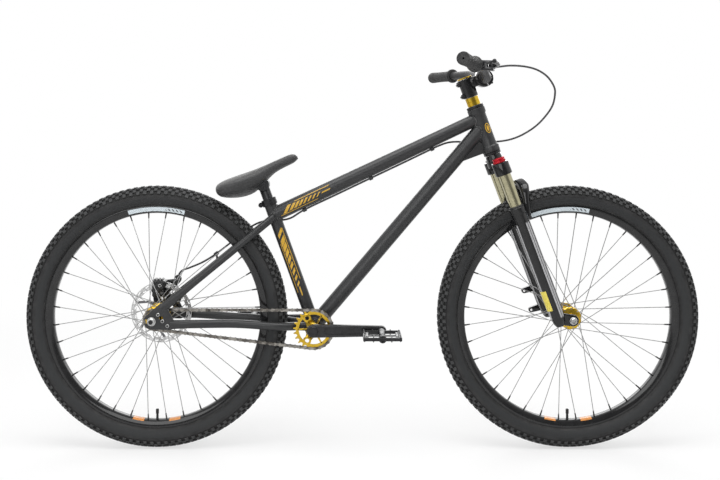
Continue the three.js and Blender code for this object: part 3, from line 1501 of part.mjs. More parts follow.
// Each point of the route: how far it has come from anchor to anchor, and its offset in cable units.
const cableStops = [
  [0, 4.42, 1.25, -0.27], [0, 5.01, 2.97, -0.3], [0, 6.66, 5.37, 0], [0.1, 9.28, 5.31, 1.61],
  [0.25, 12.5, 4.13, 3.34], [0.4, 15.43, 3.14, 4.46], [0.55, 17.85, 2.16, 4.68],
  [0.7, 19.38, 1.17, 4.1], [0.8, 19.49, 0.51, 3.32], [0.9, 18.81, 0.06, 1.83],
  [1, 16.93, -0.4, 0.35], [1, 14.73, 1, -2.15], [1, 11.73, 2.4, -4.25], [1, 8.63, 3.4, -5.55],
  [1, 4.83, 3.8, -6.15], [1, -0.57, 3.8, -6.45], [1, -4.97, 2.8, -6.15], [1, -7.97, 1, -6.35],
  [1.2, 0.02, 0.1, -2.23], [1.23, 0.01, 0, -2.22], [1.362, 0, 0, -2.29], [1.528, 0, 0, -2.33],
  [1.702, 0.02, 0, -2.36], [1.851, 0.01, 0, -2.4], [2, 4.2, 1.4, -0.98], [2, 0.8, 3.4, -1.78],
  [2, -2.6, 4.6, -1.98], [2.1, -3.73, 4.5, -1.66], [2.35, -2.55, 3.55, -1.16],
  [2.5, -2.45, 3.1, -1.28], [2.65, -2.04, 2.85, -0.7], [2.8, -1.64, 2.4, 0.58],
  [2.9, -1.37, 2.1, 1.5], [3, 0.1, 1.45, 1.44],
];

const cableRoute = cableStops.map(([stage, x, y, z]) => {
  const from = Math.min(Math.floor(stage), cableAnchors.length - 2);
  return cableAnchors[from].clone().lerp(cableAnchors[from + 1], stage - from)
    .addScaledVector(vector(x, y, z), cableUnit);
});

function makeCable(material) {
  const curve = new THREE.CatmullRomCurve3(cableRoute);
  const outer = sweep(curve, polygon(cableRadius, cableRadius, cableSides), cableSteps);
  add(bike, "brake_cable", surface(solid(outer)), material);
}

// The guides under the top tube that hold the cable.
function cableGuides() {
  const route = new THREE.CatmullRomCurve3(cableRoute);
  const guidedPoints = [19, 21, 23];
  return guidedPoints.map((point) => {
    const share = point / (cableRoute.length - 1);
    const middle = route.getPoint(share);
    const along = route.getTangent(share).multiplyScalar(cableGuideLength / 2);
    const from = middle.clone().sub(along);
    const to = middle.clone().add(along);
    const clear = boreRound(cableRadius + runningGap, 6);
    return {
      outer: solid(rod(from, to, clear + cableGuideWall, 6)),
      bore: solid(rod(from.clone().sub(along), to.clone().add(along), clear, 6)),
    };
  });
}

// Saddle

// The saddle is lofted from cross-sections: place along, half width, top and underside.
// Each is a share of its size.
function saddleGeometry() {
  const tall = saddleLength / 4;
  const stationShares = [
    [0, 0.3, 0.1, -0.3],
    [0.03, 0.72, 0.22, -0.42],
    [0.12, 0.96, 0.3, -0.55],
    [0.25, 1, 0.26, -0.72],
    [0.4, 0.82, 0.16, -0.74],
    [0.55, 0.52, 0.08, -0.58],
    [0.7, 0.34, 0.05, -0.32],
    [0.85, 0.27, 0.06, -0.22],
    [0.95, 0.22, 0.06, -0.2],
    [1, 0.1, 0, -0.12],
  ];
  const around = 12;
  const skirtShare = 0.55;
  const points = [];
  for (const [along, wide, top, under] of stationShares) {
    for (let i = 0; i < around; i += 1) {
      const angle = (i * 2 * Math.PI) / around;
      const sideways = Math.cos(angle);
      const up = Math.sin(angle);
      const narrow = up < 0 ? 1 - (1 - skirtShare) * up * up : 1;
      const height = up > 0 ? top * up ** 0.8 : under * Math.abs(up) ** 0.8;
      points.push((along - 1) * saddleLength, sideways * narrow * wide * saddleHalfWidth, height * tall);
    }
  }
  const index = [];
  const last = (stationShares.length - 1) * around;
  for (let ring = 0; ring < last; ring += around) {
    for (let i = 0; i < around; i += 1) {
      const next = (i + 1) % around;
      index.push(ring + i, ring + next, ring + around + i);
      index.push(ring + next, ring + around + next, ring + around + i);
    }
  }
  for (let i = 1; i < around - 1; i += 1) {
    index.push(0, i + 1, i);
    index.push(last, last + i, last + i + 1);
  }
  const geometry = new THREE.BufferGeometry();
  geometry.setAttribute("position", new THREE.Float32BufferAttribute(points, 3));
  geometry.setIndex(index);
  geometry.rotateY(-saddleTilt);
  const postTop = onSeatTube(seatTubeLength + postExposed);
  geometry.translate(postTop.x + saddleNoseAhead, 0, postTop.z + saddleNoseAbove);
  return geometry;
}

function makeSaddle(material, postMaterial) {
  const saddle = solid(saddleGeometry());
  add(bike, "saddle", surface(saddle), material);
  const top = seatTubeLength + postExposed;
  const post = solid(rod(onSeatTube(seatTubeLength - postInserted), onSeatTube(top), postRadius));
  const head = onSeatTube(top + clampRadius / 2);
  const clampBody = solid(crossBar(head.x, head.z, -clampHalfWidth, clampHalfWidth, clampRadius));
  const lift = saddle.translate([seatGap * Math.sin(saddleTilt), 0, -seatGap * Math.cos(saddleTilt)]);
  const stalkTop = onSeatTube(top + clampLength);
  const stalk = solid(rod(onSeatTube(top - seatGap), stalkTop, clampRadius - seatGap * 4, 12));
  const postCutter = solid(rod(onSeatTube(0), onSeatTube(top + seatGap), postRadius + seatGap));
  const clampWhole = without(clampBody.add(stalk), [lift, saddle, postCutter]);
  add(bike, "saddle_clamp", surface(largest(clampWhole)), postMaterial);
  add(bike, "seatpost", surface(without(post, [lift])), postMaterial);
}

// The whole bicycle
const frameFinish = finish(black, 0.62, 0.15);
const blackAlloy = finish(black, 0.4, 0.6);
const rubber = finish(tyreBlack, 0.9, 0);
const goldAlloy = finish(gold, 0.3, 1);
const stanchionFinish = finish(champagne, 0.2, 1);
const chainFinish = finish(darkSteel, 0.4, 1);
const steelFinish = finish(steel, 0.35, 1);

const headGroup = steeringGroup();
makeHeadTube(headGroup, frameFinish);
makeMainTubes(frameFinish);
makeGusset(frameFinish);
makeStays(frameFinish);
makeDropouts(frameFinish);
makeSeatCollar(blackAlloy);
makeBearingCups(headGroup, blackAlloy);

const steering = steeringGroup();
makeForkUpper(steering, blackAlloy, stanchionFinish, finish(red, 0.35, 0.6));
makeForkLowers(steering, blackAlloy);
makeStem(steering, blackAlloy, goldAlloy);
makeBar(steering, blackAlloy);
makeGrips(steering, rubber);
makeLever(steering, blackAlloy, blackAlloy);

const wheelMaterials = { tyre: rubber, rim: blackAlloy, hub: goldAlloy };
const frontHub = hubProfile(frontHubHalfWidth, frontHubHalfWidth, frontHubEndRadius, frontFlangeRadius, frontFlangeY,
  frontShellRadius);
makeWheel("front", frontAxle, frontHub, frontFlangeRadius, frontFlangeY, wheelMaterials);
const rearHub = hubProfile(rearHubRightEnd, rearHubLeftEnd, rearHubEndRadius, rearFlangeRadius, rearFlangeY,
  rearShellRadius);
const rearWheel = makeWheel("rear", rearAxle, rearHub, rearFlangeRadius, rearFlangeY, wheelMaterials);
makeDisc(rearWheel, steelFinish);
makeCog(rearWheel, goldAlloy);

const rearAxleSolid = revolve(
  axleProfile(rearDropoutHalfWidth, rearDropoutHalfWidth + dropoutThickness, axleNutRadius, axleNutLength),
  nutSides,
);
rearAxleSolid.translate(rearAxle.x, rearAxle.y, rearAxle.z);
add(bike, "rear_axle", rearAxleSolid, steelFinish);
const frontAxleSolid = revolve(axleProfile(frontDropoutHalfWidth, legHalfSpan, axleNutRadius, axleNutLength),
  nutSides);
frontAxleSolid.translate(frontAxle.x, frontAxle.y, frontAxle.z);
add(bike, "front_axle", frontAxleSolid, steelFinish);

const crankGroup = makeCranks(blackAlloy, steelFinish, blackAlloy);
makeChainring(crankGroup, goldAlloy);
makeChain(chainFinish);
makeCaliper(blackAlloy, blackAlloy);
makeCable(rubber);
makeSaddle(rubber, blackAlloy);

export default bike;
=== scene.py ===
import math

import bmesh
import bpy
from mathutils import Matrix, Vector


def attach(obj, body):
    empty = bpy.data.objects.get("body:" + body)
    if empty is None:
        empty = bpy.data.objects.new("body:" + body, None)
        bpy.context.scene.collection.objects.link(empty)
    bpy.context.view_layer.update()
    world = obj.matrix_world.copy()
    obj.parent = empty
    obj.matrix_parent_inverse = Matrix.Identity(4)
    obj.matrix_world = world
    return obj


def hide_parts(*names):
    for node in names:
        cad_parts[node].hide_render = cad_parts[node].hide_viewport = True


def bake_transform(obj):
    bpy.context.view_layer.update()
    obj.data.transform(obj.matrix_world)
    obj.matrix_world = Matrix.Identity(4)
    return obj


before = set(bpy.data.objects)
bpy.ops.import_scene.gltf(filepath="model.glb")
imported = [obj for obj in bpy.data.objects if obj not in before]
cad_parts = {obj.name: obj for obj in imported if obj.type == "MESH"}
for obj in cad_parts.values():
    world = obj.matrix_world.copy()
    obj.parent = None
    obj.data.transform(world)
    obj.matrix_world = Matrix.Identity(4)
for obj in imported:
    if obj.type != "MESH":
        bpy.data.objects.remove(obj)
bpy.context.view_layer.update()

# Camera, light and floor.
# The bicycle stands on a pale floor in soft, even studio light and is seen square from its drive side.
# Polished parts mirror a white room with one dark card on the camera's side.
MM = 0.001
ACROSS = Vector((0, 1, 0))
AHEAD = Vector((1, 0, 0))


def shown(name, data):
    """An object made of its data and put in the scene."""
    thing = bpy.data.objects.new(name, data)
    bpy.context.collection.objects.link(thing)
    return thing


camera_data = bpy.data.cameras.new("side_camera")
camera_data.lens = 45.5
camera_data.sensor_width = 36
camera_data.shift_x = 0.021
camera_data.shift_y = -0.146
camera = shown("side_camera", camera_data)
camera.location = (-0.045, -2.35, 0.804)
camera.rotation_euler = (math.radians(90), 0, 0)
bpy.context.scene.camera = camera
bpy.context.scene.view_settings.view_transform = "Standard"


def soft_lamp(name, place, aim, size, power):
    lamp_data = bpy.data.lights.new(name, "AREA")
    lamp_data.shape = "RECTANGLE"
    lamp_data.size, lamp_data.size_y = size
    lamp_data.energy = power
    lamp = shown(name, lamp_data)
    lamp.location = place
    lamp.rotation_euler = (Vector(aim) - Vector(place)).to_track_quat("-Z", "Y").to_euler()


soft_lamp("overhead_softbox", (0, -0.6, 2.9), (0, 0, 0.4), (3.2, 1.6), 62)
soft_lamp("front_softbox", (-1.2, -3.4, 1.7), (0, 0, 0.5), (2.4, 1.8), 40)
soft_lamp("rear_softbox", (0.6, 2.8, 1.8), (0, 0, 0.5), (3.0, 1.6), 40)


def plug(tree, target, inputs):
    """Joins each input of a node to a socket, or gives it a value."""
    for word, value in inputs.items():
        if isinstance(value, bpy.types.NodeSocket):
            tree.links.new(value, target.inputs[word])
        else:
            target.inputs[word].default_value = value
    return target


def node(tree, kind, inputs, **settings):
    """A shader node with its settings and its inputs."""
    made = tree.nodes.new("ShaderNode" + kind)
    for word, setting in settings.items():
        setattr(made, word, setting)
    return plug(tree, made, inputs)


def ranged(tree, value, low, high, to_low=0.0, to_high=1.0):
    """A value carried smoothly from one range to another."""
    limits = {"Value": value, "From Min": low, "From Max": high, "To Min": to_low, "To Max": to_high}
    return node(tree, "MapRange", limits, interpolation_type="SMOOTHSTEP").outputs["Result"]


def maths(tree, operation, *values):
    """The result of a Math node over sockets and plain numbers."""
    return node(tree, "Math", dict(enumerate(values)), operation=operation).outputs[0]


world = bpy.data.worlds.new("studio")
bpy.context.scene.world = world
world.use_nodes = True
room = world.node_tree
room.nodes.clear()
ray = room.nodes.new("ShaderNodeLightPath").outputs
mirrored = maths(room, "MAXIMUM", ray["Is Glossy Ray"], ray["Is Transmission Ray"])
direct = maths(room, "MAXIMUM", ray["Is Camera Ray"], mirrored)
facing = node(room, "SeparateXYZ", {0: room.nodes.new("ShaderNodeTexCoord").outputs["Generated"]})
dark_card = ranged(room, facing.outputs["Y"], -0.88, -0.42, 0.27, 1.15)
in_mirror = node(room, "Mix", {"Factor": mirrored, "A": 1, "B": dark_card})
ambient = node(room, "Background", {"Color": (1, 1, 1, 1), "Strength": 0.5})
white = node(room, "Background", {"Color": (1, 1, 1, 1), "Strength": in_mirror.outputs["Result"]})
sky = node(room, "MixShader", {0: direct, 1: ambient.outputs[0], 2: white.outputs[0]})
node(room, "OutputWorld", {0: sky.outputs[0]})


def meshed(name, bm):
    """The mesh of a bmesh, which is then let go."""
    mesh = bpy.data.meshes.new(name)
    bm.to_mesh(mesh)
    bm.free()
    return mesh


floor_bm = bmesh.new()
bmesh.ops.create_grid(floor_bm, x_segments=8, y_segments=8, size=9)
floor_mesh = meshed("studio_floor", floor_bm)
floor_finish = bpy.data.materials.new("pale_floor")
floor_finish.use_nodes = True
tree = floor_finish.node_tree
shader = plug(tree, tree.nodes["Principled BSDF"], {
    "Base Color": (0.86, 0.86, 0.86, 1), "Roughness": 0.9, "Specular IOR Level": 0.1,
})
glow = node(tree, "Emission", {"Color": (1, 1, 1, 1)})
away = node(tree, "VectorMath", {0: tree.nodes.new("ShaderNodeTexCoord").outputs["Object"]}, operation="LENGTH")
fade = ranged(tree, away.outputs["Value"], 0.9, 2.6, 0.62, 1)
whitened = maths(tree, "MULTIPLY", fade, tree.nodes.new("ShaderNodeLightPath").outputs["Is Camera Ray"])
floor_mix = node(tree, "MixShader", {0: whitened, 1: shader.outputs[0], 2: glow.outputs[0]})
tree.links.new(floor_mix.outputs[0], tree.nodes["Material Output"].inputs["Surface"])
floor_mesh.materials.append(floor_finish)
floor = shown("studio_floor", floor_mesh)

# Brake cable: a steel inner wire in a black plastic outer, 5 mm thick.
# It leaves the lever, bows round the head tube, and is clipped under the top tube to the caliper.
CABLE_RADIUS = 2.5
CABLE_ROUTE = [
    (307.6, -193.2, 966.3), (313.5, -176, 966), (330, -152, 969), (360, -132, 973), (398, -113, 972),
    (433, -92, 965), (463, -71, 949), (484, -50, 925), (489, -36, 905), (486, -20, 878), (471, -4, 851),
    (449, 10, 826), (419, 24, 805), (388, 34, 792), (350, 38, 786), (296, 38, 783), (252, 28, 786),
    (222, 10, 784), (196, 1, 775.3), (180, 0, 767.9), (110, 0, 734.2), (22, 0, 692.4), (-70, 0, 648.6),
    (-149, 0, 611), (-186, 14, 588), (-220, 34, 580), (-254, 46, 578), (-292, 52, 562), (-347, 60, 519),
    (-386, 66, 489), (-422, 74, 466), (-458, 80, 450), (-482, 84, 440), (-494, 84.5, 420.1),
]


def eased(points, steps, held=False):
    """Places on one smooth curve through the given ones, which sets off more slowly from ends that are held."""
    known = [Vector(point) for point in points]
    first, last = (known[0], known[-1]) if held else (2 * known[0] - known[1], 2 * known[-1] - known[-2])
    known = [first, *known, last]
    smooth = []
    for before, here, there, after in zip(known, known[1:], known[2:], known[3:]):
        leave, arrive = (there - before) / 2, (after - here) / 2
        for i in range(steps):
            t = i / steps
            smooth.append(here * (2 * t ** 3 - 3 * t ** 2 + 1) + leave * (t ** 3 - 2 * t ** 2 + t)
                          + there * (3 * t ** 2 - 2 * t ** 3) + arrive * (t ** 3 - t ** 2))
    return smooth + [known[-2]]


def times(tree, *values):
    """The product of sockets and plain numbers."""
    product = values[0]
    for value in values[1:]:
        product = maths(tree, "MULTIPLY", product, value)
    return product


def noise(tree, coordinates, scale, detail=3.0):
    return node(tree, "TexNoise", {"Vector": coordinates, "Scale": scale, "Detail": detail}).outputs["Fac"]


def node_group(name, word, kind, results):
    """A node group with one input, and a number for each of its results."""
    group = bpy.data.node_groups.new(name, "ShaderNodeTree")
    group.interface.new_socket(word, in_out="INPUT", socket_type=kind)
    for result in results:
        group.interface.new_socket(result, in_out="OUTPUT", socket_type="NodeSocketFloat")
    return group, group.nodes.new("NodeGroupInput").outputs[word], group.nodes.new("NodeGroupOutput").inputs


# The marks of making and use that every finish shares: cloudy mottle, fine grain, rubbed edges and settled dust
worn_surface, cloud_scale, marks = node_group(
    "worn_surface", "Scale", "NodeSocketFloat", ["Mottle", "Grain", "Edge", "Dust"]
)
wear_place = worn_surface.nodes.new("ShaderNodeTexCoord").outputs["Object"]
wear_shape = worn_surface.nodes.new("ShaderNodeNewGeometry").outputs
upward = node(worn_surface, "SeparateXYZ", {0: wear_shape["Normal"]}).outputs["Z"]
cloud = noise(worn_surface, wear_place, cloud_scale)
fine = noise(worn_surface, wear_place, times(worn_surface, cloud_scale, 14.0), 2.0)
sharp = ranged(worn_surface, wear_shape["Pointiness"], 0.57, 0.68)
patchy = ranged(worn_surface, noise(worn_surface, wear_place, 90.0), 0.35, 0.65)
for word, value in (
    ("Mottle", ranged(worn_surface, cloud, 0.3, 0.7)),
    ("Grain", ranged(worn_surface, fine, 0.25, 0.75)),
    ("Edge", times(worn_surface, sharp, patchy)),
    ("Dust", times(worn_surface, ranged(worn_surface, upward, 0.45, 1.0), cloud)),
):
    worn_surface.links.new(value, marks[word])


def mixed(tree, share, under, over):
    """One colour over another by a share; each is a socket, a colour or, for a grey, one number."""
    colours = []
    for colour in (under, over):
        if isinstance(colour, float):
            colour = (colour, colour, colour)
        colours.append((*colour, 1) if isinstance(colour, tuple) else colour)
    return node(tree, "Mix", {0: share, 6: colours[0], 7: colours[1]}, data_type="RGBA").outputs[2]


DUST_COLOUR = (0.32, 0.31, 0.29)
GRAIN_DEPTH = 0.0003


def finish(name, colour, mottled, rough, metallic=0.0, scale=60.0, bump=0.15, worn=None, dust=0.0, coat=0.0,
           shine=0.25):
    """A procedural finish: mottled colour, rubbed edges, dust on top, roughness and bump from its grain."""
    material = bpy.data.materials.new(name)
    material.use_nodes = True
    tree = material.node_tree
    wear = node(tree, "Group", {"Scale": scale}, node_tree=worn_surface, name="wear").outputs
    tint = mixed(tree, wear["Mottle"], colour, mottled)
    if worn:
        tint = mixed(tree, wear["Edge"], tint, worn)
    if dust:
        tint = mixed(tree, times(tree, wear["Dust"], dust), tint, DUST_COLOUR)
    relief = node(tree, "Bump", {"Strength": bump, "Distance": GRAIN_DEPTH, "Height": wear["Grain"]}, name="relief")
    plug(tree, tree.nodes["Principled BSDF"], {
        "Base Color": tint, "Roughness": ranged(tree, wear["Grain"], 0, 1, *rough), "Metallic": metallic,
        "Specular IOR Level": shine, "Coat Weight": coat, "Coat Roughness": 0.08, "Normal": relief.outputs["Normal"],
    })
    return material


def settled(thing):
    """The mesh that an object shows once its curve or its modifiers have done their work."""
    bpy.context.view_layer.update()
    return bpy.data.meshes.new_from_object(thing.evaluated_get(bpy.context.evaluated_depsgraph_get()))


cable_finish = finish("cable_outer", (0.045, 0.045, 0.047), (0.07, 0.07, 0.072), (0.32, 0.46), scale=120, bump=0.1)
cable_line = eased(CABLE_ROUTE, 6)
cable_curve = bpy.data.curves.new("brake_cable_outer", "CURVE")
cable_curve.dimensions = "3D"
cable_curve.bevel_depth = CABLE_RADIUS * MM
cable_curve.bevel_resolution = 4
cable_curve.use_fill_caps = True
cable_spline = cable_curve.splines.new("POLY")
cable_spline.points.add(len(cable_line) - 1)
for point, place in zip(cable_spline.points, cable_line):
    point.co = (*(place * MM), 1)
drawn = shown("cable_line", cable_curve)
cable_mesh = settled(drawn)
bpy.data.objects.remove(drawn)
cable_mesh.name = "brake_cable_outer"
cable_mesh.materials.clear()
cable_mesh.materials.append(cable_finish)
cable_mesh.shade_smooth()
cable = shown("brake_cable_outer", cable_mesh)
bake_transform(cable)
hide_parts("brake_cable")

# Tyres: moulded black rubber, about 57 mm wide, with a smooth band of bare sidewall and low square knobs.
# The beads sit under the rims' edges; the knobs are moulded with the tread, one row beside the next.
AXLE_HEIGHT = 336.745
HALF_WHEELBASE = 529
WHEELS = {
    "front": Vector((HALF_WHEELBASE, 0, AXLE_HEIGHT)),
    "rear": Vector((-HALF_WHEELBASE, 0, AXLE_HEIGHT)),
}
FRONT_AXLE, REAR_AXLE = WHEELS["front"], WHEELS["rear"]
TREAD_TOP = 336.5
KNOB_HEIGHT = 3.2
CARCASS_TALL = 25.4
CARCASS_WIDE = 27.2
CARCASS_MIDDLE = TREAD_TOP - KNOB_HEIGHT - CARCASS_TALL
BEAD_RADIUS = 281
BEAD_HALF_WIDTH = 11.8
KNOB_PITCHES = 112
KNOB_FLARE = 1.15
KNOB_ROWS = [(9, 0, 5.7), (27, 0.5, 5.6), (45, 0, 5.6), (62, 0.5, 5.8)]
BARE_BAND, TREAD_BAND, BEAD_LINES = (291.5, 306, 0.8), (315, 345, 1.5), (284, 291, 0.5)


def stood(place, axis, toward=None):
    """The matrix that stands a piece's own Z on an axis, at a place."""
    up = Vector(axis).normalized()
    if toward is None:
        toward = AHEAD if abs(up.y) > 0.9 else ACROSS
    side = (toward - up * toward.dot(up)).normalized()
    turn = Matrix((side, up.cross(side), up)).transposed().to_4x4()
    return Matrix.Translation(Vector(place)) @ turn


def newest(bm, before):
    """The vertices made since the set was taken."""
    return [vert for vert in bm.verts if vert not in before]


def turned(bm, profile, place, axis, steps=48):
    """A piece turned on a lathe: its profile of (radius, along) spun round an axis, closed if it has a bore."""
    before = set(bm.verts)
    drawn = [bm.verts.new((radius, 0, along)) for radius, along in profile]
    lines = [bm.edges.new(pair) for pair in zip(drawn, drawn[1:])]
    if profile[0][0]:
        lines.append(bm.edges.new((drawn[-1], drawn[0])))
    bmesh.ops.spin(bm, geom=drawn + lines, cent=(0, 0, 0), axis=(0, 0, 1), dvec=(0, 0, 0),
                   angle=math.tau, steps=steps, use_merge=True)
    bmesh.ops.remove_doubles(bm, verts=newest(bm, before), dist=0.0005)
    bmesh.ops.transform(bm, matrix=stood(place, axis), verts=newest(bm, before))


def metric(name, bm):
    """The mesh of a bmesh in metres, its faces turned outward."""
    bmesh.ops.recalc_face_normals(bm, faces=bm.faces)
    bmesh.ops.scale(bm, vec=(MM, MM, MM), verts=bm.verts)
    return meshed(name, bm)


def finished(bm, name, body, surface, slot, *nodes, smooth=32, soft=0.0, holes=None):
    """A piece in metres, with its finish, on the body that carries it, in the place of its CAD nodes."""
    bmesh.ops.remove_doubles(bm, verts=bm.verts, dist=0.002)
    piece = shown(name, metric(name, bm))
    if holes:
        cutter = shown("holes", metric("holes", holes))
        cut = piece.modifiers.new("cut", "BOOLEAN")
        cut.operation, cut.solver, cut.use_self, cut.object = "DIFFERENCE", "EXACT", True, cutter
        spent = (piece.data, cutter.data)
        piece.data = settled(piece)
        piece.modifiers.clear()
        bpy.data.objects.remove(cutter)
        for mesh in spent:
            bpy.data.meshes.remove(mesh)
        piece.data.name = name
    piece.data.materials.clear()
    piece.data.materials.append(surface)
    piece.data.shade_smooth()
    piece.data.set_sharp_from_angle(angle=math.radians(smooth))
    if soft:
        edge = piece.modifiers.new("broken_edges", "BEVEL")
        edge.width = soft * MM
        edge.segments = 2
        edge.limit_method = "ANGLE"
        edge.angle_limit = math.radians(40)
        edge.harden_normals = True
    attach(piece, body)
    if nodes:
        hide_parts(*nodes)
    return piece


def lathed(name, profile, place, axis, body, surface, slot, *nodes, steps=48):
    """A piece that is a single turned part."""
    bm = bmesh.new()
    turned(bm, profile, place, axis, steps)
    finished(bm, name, body, surface, slot, *nodes)


# Where a point lies on something round: its distance from the axle, its turn from the top and its place across
round_place, entry, leave = node_group("round_place", "Vector", "NodeSocketVector", ["Radius", "Turn", "Across"])
split = node(round_place, "SeparateXYZ", {0: entry}).outputs
squares = [times(round_place, split[axis], split[axis]) for axis in ("X", "Z")]
for word, value in (("Radius", maths(round_place, "SQRT", maths(round_place, "ADD", *squares))),
                    ("Turn", maths(round_place, "ARCTAN2", split["X"], split["Z"])), ("Across", split["Y"])):
    round_place.links.new(value, leave[word])


def placed(tree, centre, turn=0.0):
    """Object coordinates in millimetres from a centre, turned about the across axis."""
    return node(tree, "Mapping", {
        "Vector": tree.nodes.new("ShaderNodeTexCoord").outputs["Object"], "Scale": (1 / MM, 1 / MM, 1 / MM),
        "Rotation": (0, turn, 0), "Location": -(Matrix.Rotation(turn, 3, "Y") @ Vector(centre)),
    }).outputs["Vector"]


def round_about(tree, centre):
    """The radius, turn and place across of each point, about an axle."""
    return tuple(node(tree, "Group", {"Vector": placed(tree, centre)}, node_tree=round_place).outputs)


def between(tree, *limits):
    """A mask of what lies between a low and a high limit with soft edges, for each of the values given."""
    walls = []
    for value, low, high, edge in limits:
        walls += [ranged(tree, value, low - edge, low), ranged(tree, value, high, high + edge, 1, 0)]
    return times(tree, *walls)


def over_colour(material, share, colour):
    """Lays a colour over what a finish already has, by a mask."""
    tree = material.node_tree
    socket = tree.nodes["Principled BSDF"].inputs["Base Color"]
    tree.links.new(mixed(tree, share, socket.links[0].from_socket, colour), socket)


def over_height(material, value, share):
    """Adds a moulded form to the relief of a finish."""
    tree = material.node_tree
    socket = tree.nodes["relief"].inputs["Height"]
    tree.links.new(maths(tree, "ADD", socket.links[0].from_socket, times(tree, value, share)), socket)


for word, axle in WHEELS.items():
    tyre_finish = finish(f"{word}_tyre_rubber", (0.021, 0.021, 0.0215), (0.033, 0.033, 0.0335), (0.5, 0.75),
                         scale=45, bump=0.3, worn=0.07, dust=0.06)
    tree = tyre_finish.node_tree
    radius, turn, across = round_about(tree, axle)
    over_colour(tyre_finish, between(tree, (radius, *BARE_BAND)), (0.028, 0.029, 0.030))
    tall = maths(tree, "DIVIDE", maths(tree, "SUBTRACT", radius, CARCASS_MIDDLE), CARCASS_TALL)
    wide = maths(tree, "DIVIDE", across, CARCASS_WIDE)
    proud = maths(tree, "SQRT", maths(tree, "ADD", times(tree, tall, tall), times(tree, wide, wide)))
    # Painted shade: the carcass in the gaps between the knobs is darkened. A painted highlight lightens the knobs'
    # tops.
    painted_gap_shade = times(tree, between(tree, (radius, *TREAD_BAND)), ranged(tree, proud, 1.04, 1.08, 1, 0))
    over_colour(tyre_finish, painted_gap_shade, 0.014)
    over_colour(tyre_finish, times(tree, ranged(tree, proud, 1.07, 1.11), 0.7), (0.046, 0.047, 0.048))
    lines = maths(tree, "SINE", times(tree, radius, 2.6))
    over_height(tyre_finish, times(tree, lines, between(tree, (radius, *BEAD_LINES))), 0.5)
    tyre_bm = bmesh.new()
    section = []
    for i in range(31):
        lean = math.radians(-152 + 304 * i / 30)
        section.append((CARCASS_MIDDLE + CARCASS_TALL * math.cos(lean), CARCASS_WIDE * math.sin(lean)))
    section += [(BEAD_RADIUS, BEAD_HALF_WIDTH), (BEAD_RADIUS, -BEAD_HALF_WIDTH)]
    turned(tyre_bm, section, axle, ACROSS, steps=120)
    before = set(tyre_bm.verts)
    for degrees, share, half in KNOB_ROWS:
        for side in (-1, 1):
            lean = math.radians(degrees) * side
            radius = CARCASS_MIDDLE + CARCASS_TALL * math.cos(lean)
            outward = Vector((math.cos(lean) * CARCASS_WIDE, math.sin(lean) * CARCASS_TALL, 0)).normalized()
            foot = Vector((radius, CARCASS_WIDE * math.sin(lean), 0)) + outward * (KNOB_HEIGHT / 2 - 0.1)
            ahead = Matrix.Rotation(share * math.tau / KNOB_PITCHES, 4, "Y")
            standing = ahead @ stood(foot, outward) @ Matrix.Rotation(math.radians(45), 4, "Z")
            bmesh.ops.create_cone(tyre_bm, cap_ends=True, segments=4, radius1=half * KNOB_FLARE, radius2=half,
                                  depth=KNOB_HEIGHT, matrix=Matrix.Translation(axle) @ standing)
    knob_verts = newest(tyre_bm, before)
    knob_faces = list({face for vert in knob_verts for face in vert.link_faces})
    bmesh.ops.spin(tyre_bm, geom=knob_verts + knob_faces, cent=axle, axis=(0, 1, 0), dvec=(0, 0, 0),
                   angle=math.tau * (1 - 1 / KNOB_PITCHES), steps=KNOB_PITCHES - 1, use_duplicate=True)
    finished(tyre_bm, f"{word}_tyre_tread", f"{word}_wheel", tyre_finish, "tyre", f"{word}_tyre")

# Rims: black double-walled alloy, with a plain pale band near the top of each, dark bars slanting across its end.
# Each is a bent and joined extrusion; a black rubber valve stands at its foot between two small orange marks.
RIM_HALF_SECTION = [(285.5, 12.8), (285.4, 14.6), (284, 15), (280, 14.6), (272, 12.6), (267.4, 9.6), (266, 6.5)]
RIM_BED = [(278.5, -12.4), (277.5, -10), (277.5, 10), (278.5, 12.4)]
RIM_LABELS = {"front": (-20, 11), "rear": (-15, 15)}
VALVE_FOOT = 272
VALVE_PROFILE = [(0, 0), (3.4, 0), (3.2, 17), (2.7, 18), (2.7, 19.4), (4, 20), (4, 31), (3.2, 32), (0, 32)]


def both_halves(half):
    """A whole profile from the half on its left side."""
    return half + [(radius, -along) for radius, along in reversed(half)]


for word, axle in WHEELS.items():
    rim_finish = finish(f"{word}_rim_alloy", (0.009, 0.009, 0.0095), (0.014, 0.014, 0.0145), (0.08, 0.16), scale=50,
                        bump=0.03, coat=0.4)
    tree = rim_finish.node_tree
    radius, turn, across = round_about(tree, axle)
    low, high = (math.radians(degrees) for degrees in RIM_LABELS[word])
    band = between(tree, (radius, 271.5, 282, 0.4), (turn, low, high, 0.004))
    over_colour(rim_finish, band, (0.62, 0.69, 0.73))
    slant = maths(tree, "SINE", maths(tree, "ADD", times(tree, turn, 170), times(tree, radius, 0.5)))
    bars = between(tree, (radius, 274, 279.5, 0.4), (turn, high - math.radians(10), high - math.radians(1), 0.004))
    over_colour(rim_finish, times(tree, bars, ranged(tree, slant, 0.1, 0.3)), (0.12, 0.13, 0.14))
    for low, high in ((167, 173), (-173, -167)):
        mark = between(tree, (radius, 266, 269.8, 0.4), (turn, math.radians(low), math.radians(high), 0.003))
        over_colour(rim_finish, mark, (0.74, 0.3, 0.08))
    rim_bm = bmesh.new()
    turned(rim_bm, both_halves(RIM_HALF_SECTION) + RIM_BED, axle, ACROSS, steps=128)
    finished(rim_bm, f"{word}_rim_hoop", f"{word}_wheel", rim_finish, "rim", f"{word}_rim")

valve_finish = finish("valve_rubber", 0.012, 0.022, (0.35, 0.5), scale=200)
for word, axle in WHEELS.items():
    lathed(f"{word}_valve", VALVE_PROFILE, axle - Vector((0, 0, VALVE_FOOT)), (0, 0, 1), f"{word}_wheel",
           valve_finish, "rubber", steps=16)

